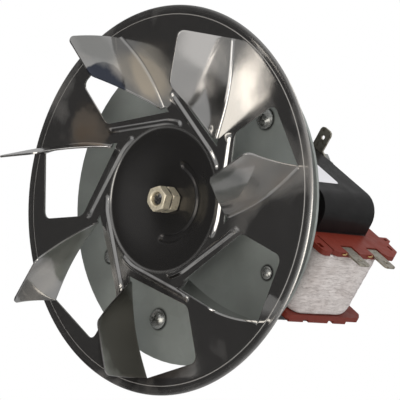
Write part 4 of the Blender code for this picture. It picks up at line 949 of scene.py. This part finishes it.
# Painted reflection: the hub is tinted near black, standing in for the dark surroundings that its
# dish mirrors.
wheel_steel.tint(wheel_steel.ranged(from_shaft, hub_dark, hub_bright, 1.0, 0.0),
                 (0.046, 0.0445, 0.044), 0.0, 1.0)
# Painted reflection: a brown patch on the web to the left of the hub.
brown_reflection_patch = wheel_steel.near((-0.0445, web_level, 0.0275), 0.0125, 0.006, 0.1)
wheel_steel.tint(brown_reflection_patch, (0.30, 0.22, 0.155), 0.0, 1.0, 0.75)
# Painted highlight: a pale line along the rim's crease, all the way round.
crease_place = wheel_steel.ranged(from_shaft, rim_crease - 0.0006, rim_crease + 0.0010, 0.0, 1.0)
crease_highlight_line = wheel_steel.seams(crease_place, 0.17)
wheel_steel.tint(crease_highlight_line, (0.60, 0.575, 0.54), 0.0, 1.0)

# It is less metallic on the hub, under the brown tarnish, on the painted brown reflection patch and
# along the painted crease highlight, and rougher on the hub and the rolled rim. Outside the hub the
# pressed web is gently uneven.
bare = maths(wheel_tree, "MULTIPLY",
             wheel_steel.ranged(from_shaft, hub_dark, hub_bright, 0.7, 1.0),
             wheel_steel.ranged(stain, 0.0, 1.0, 1.0, 0.55))
dull = maths(wheel_tree, "MULTIPLY",
             wheel_steel.ranged(crease_highlight_line, 0.0, 1.0, 1.0, 0.6),
             wheel_steel.ranged(brown_reflection_patch, 0.0, 1.0, 1.0, 0.82))
wheel_tree.links.new(maths(wheel_tree, "MULTIPLY", bare, dull),
                     wheel_steel.shader.inputs["Metallic"])
smear = wheel_steel.ranged(wheel_steel.noise(70.0, 5.0, distortion=0.6), 0.3, 0.75, -0.03, 0.07)
rough = maths(wheel_tree, "MAXIMUM",
              wheel_steel.ranged(from_shaft, hub_dark, hub_bright, 0.22, 0.10),
              wheel_steel.ranged(from_shaft, rim_crease + 0.0010, rim_roll - 0.0002, 0.0, 0.24))
wheel_tree.links.new(maths(wheel_tree, "ADD", smear, rough),
                     wheel_steel.shader.inputs["Roughness"])
wheel_steel.bump(wheel_steel.noise(26.0, 1.0, distortion=0.3), 0.0022)
wheel_tree.links.new(wheel_steel.ranged(from_shaft, 0.030, 0.042, 0.05, 0.42),
                     wheel_steel.last_bump.node.inputs["Strength"])
wheel_steel.bump(wheel_steel.noise(110.0, 2.0), 0.00006, 0.4)
wheel_mesh = wheel_piece()
wheel_mesh.materials.append(wheel_steel.material)
wheel_mesh.shade_smooth()
fan_wheel = placed("fan_wheel_pressed", wheel_mesh)
sheet_wall = fan_wheel.modifiers.new("sheet", "SOLIDIFY")
sheet_wall.thickness = wheel_sheet
sheet_wall.offset = 0.0
sheet_wall.use_even_offset = True
eased(fan_wheel, "cut_edges", 0.00012, 60.0)
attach(fan_wheel, "rotor")
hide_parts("fan_wheel")
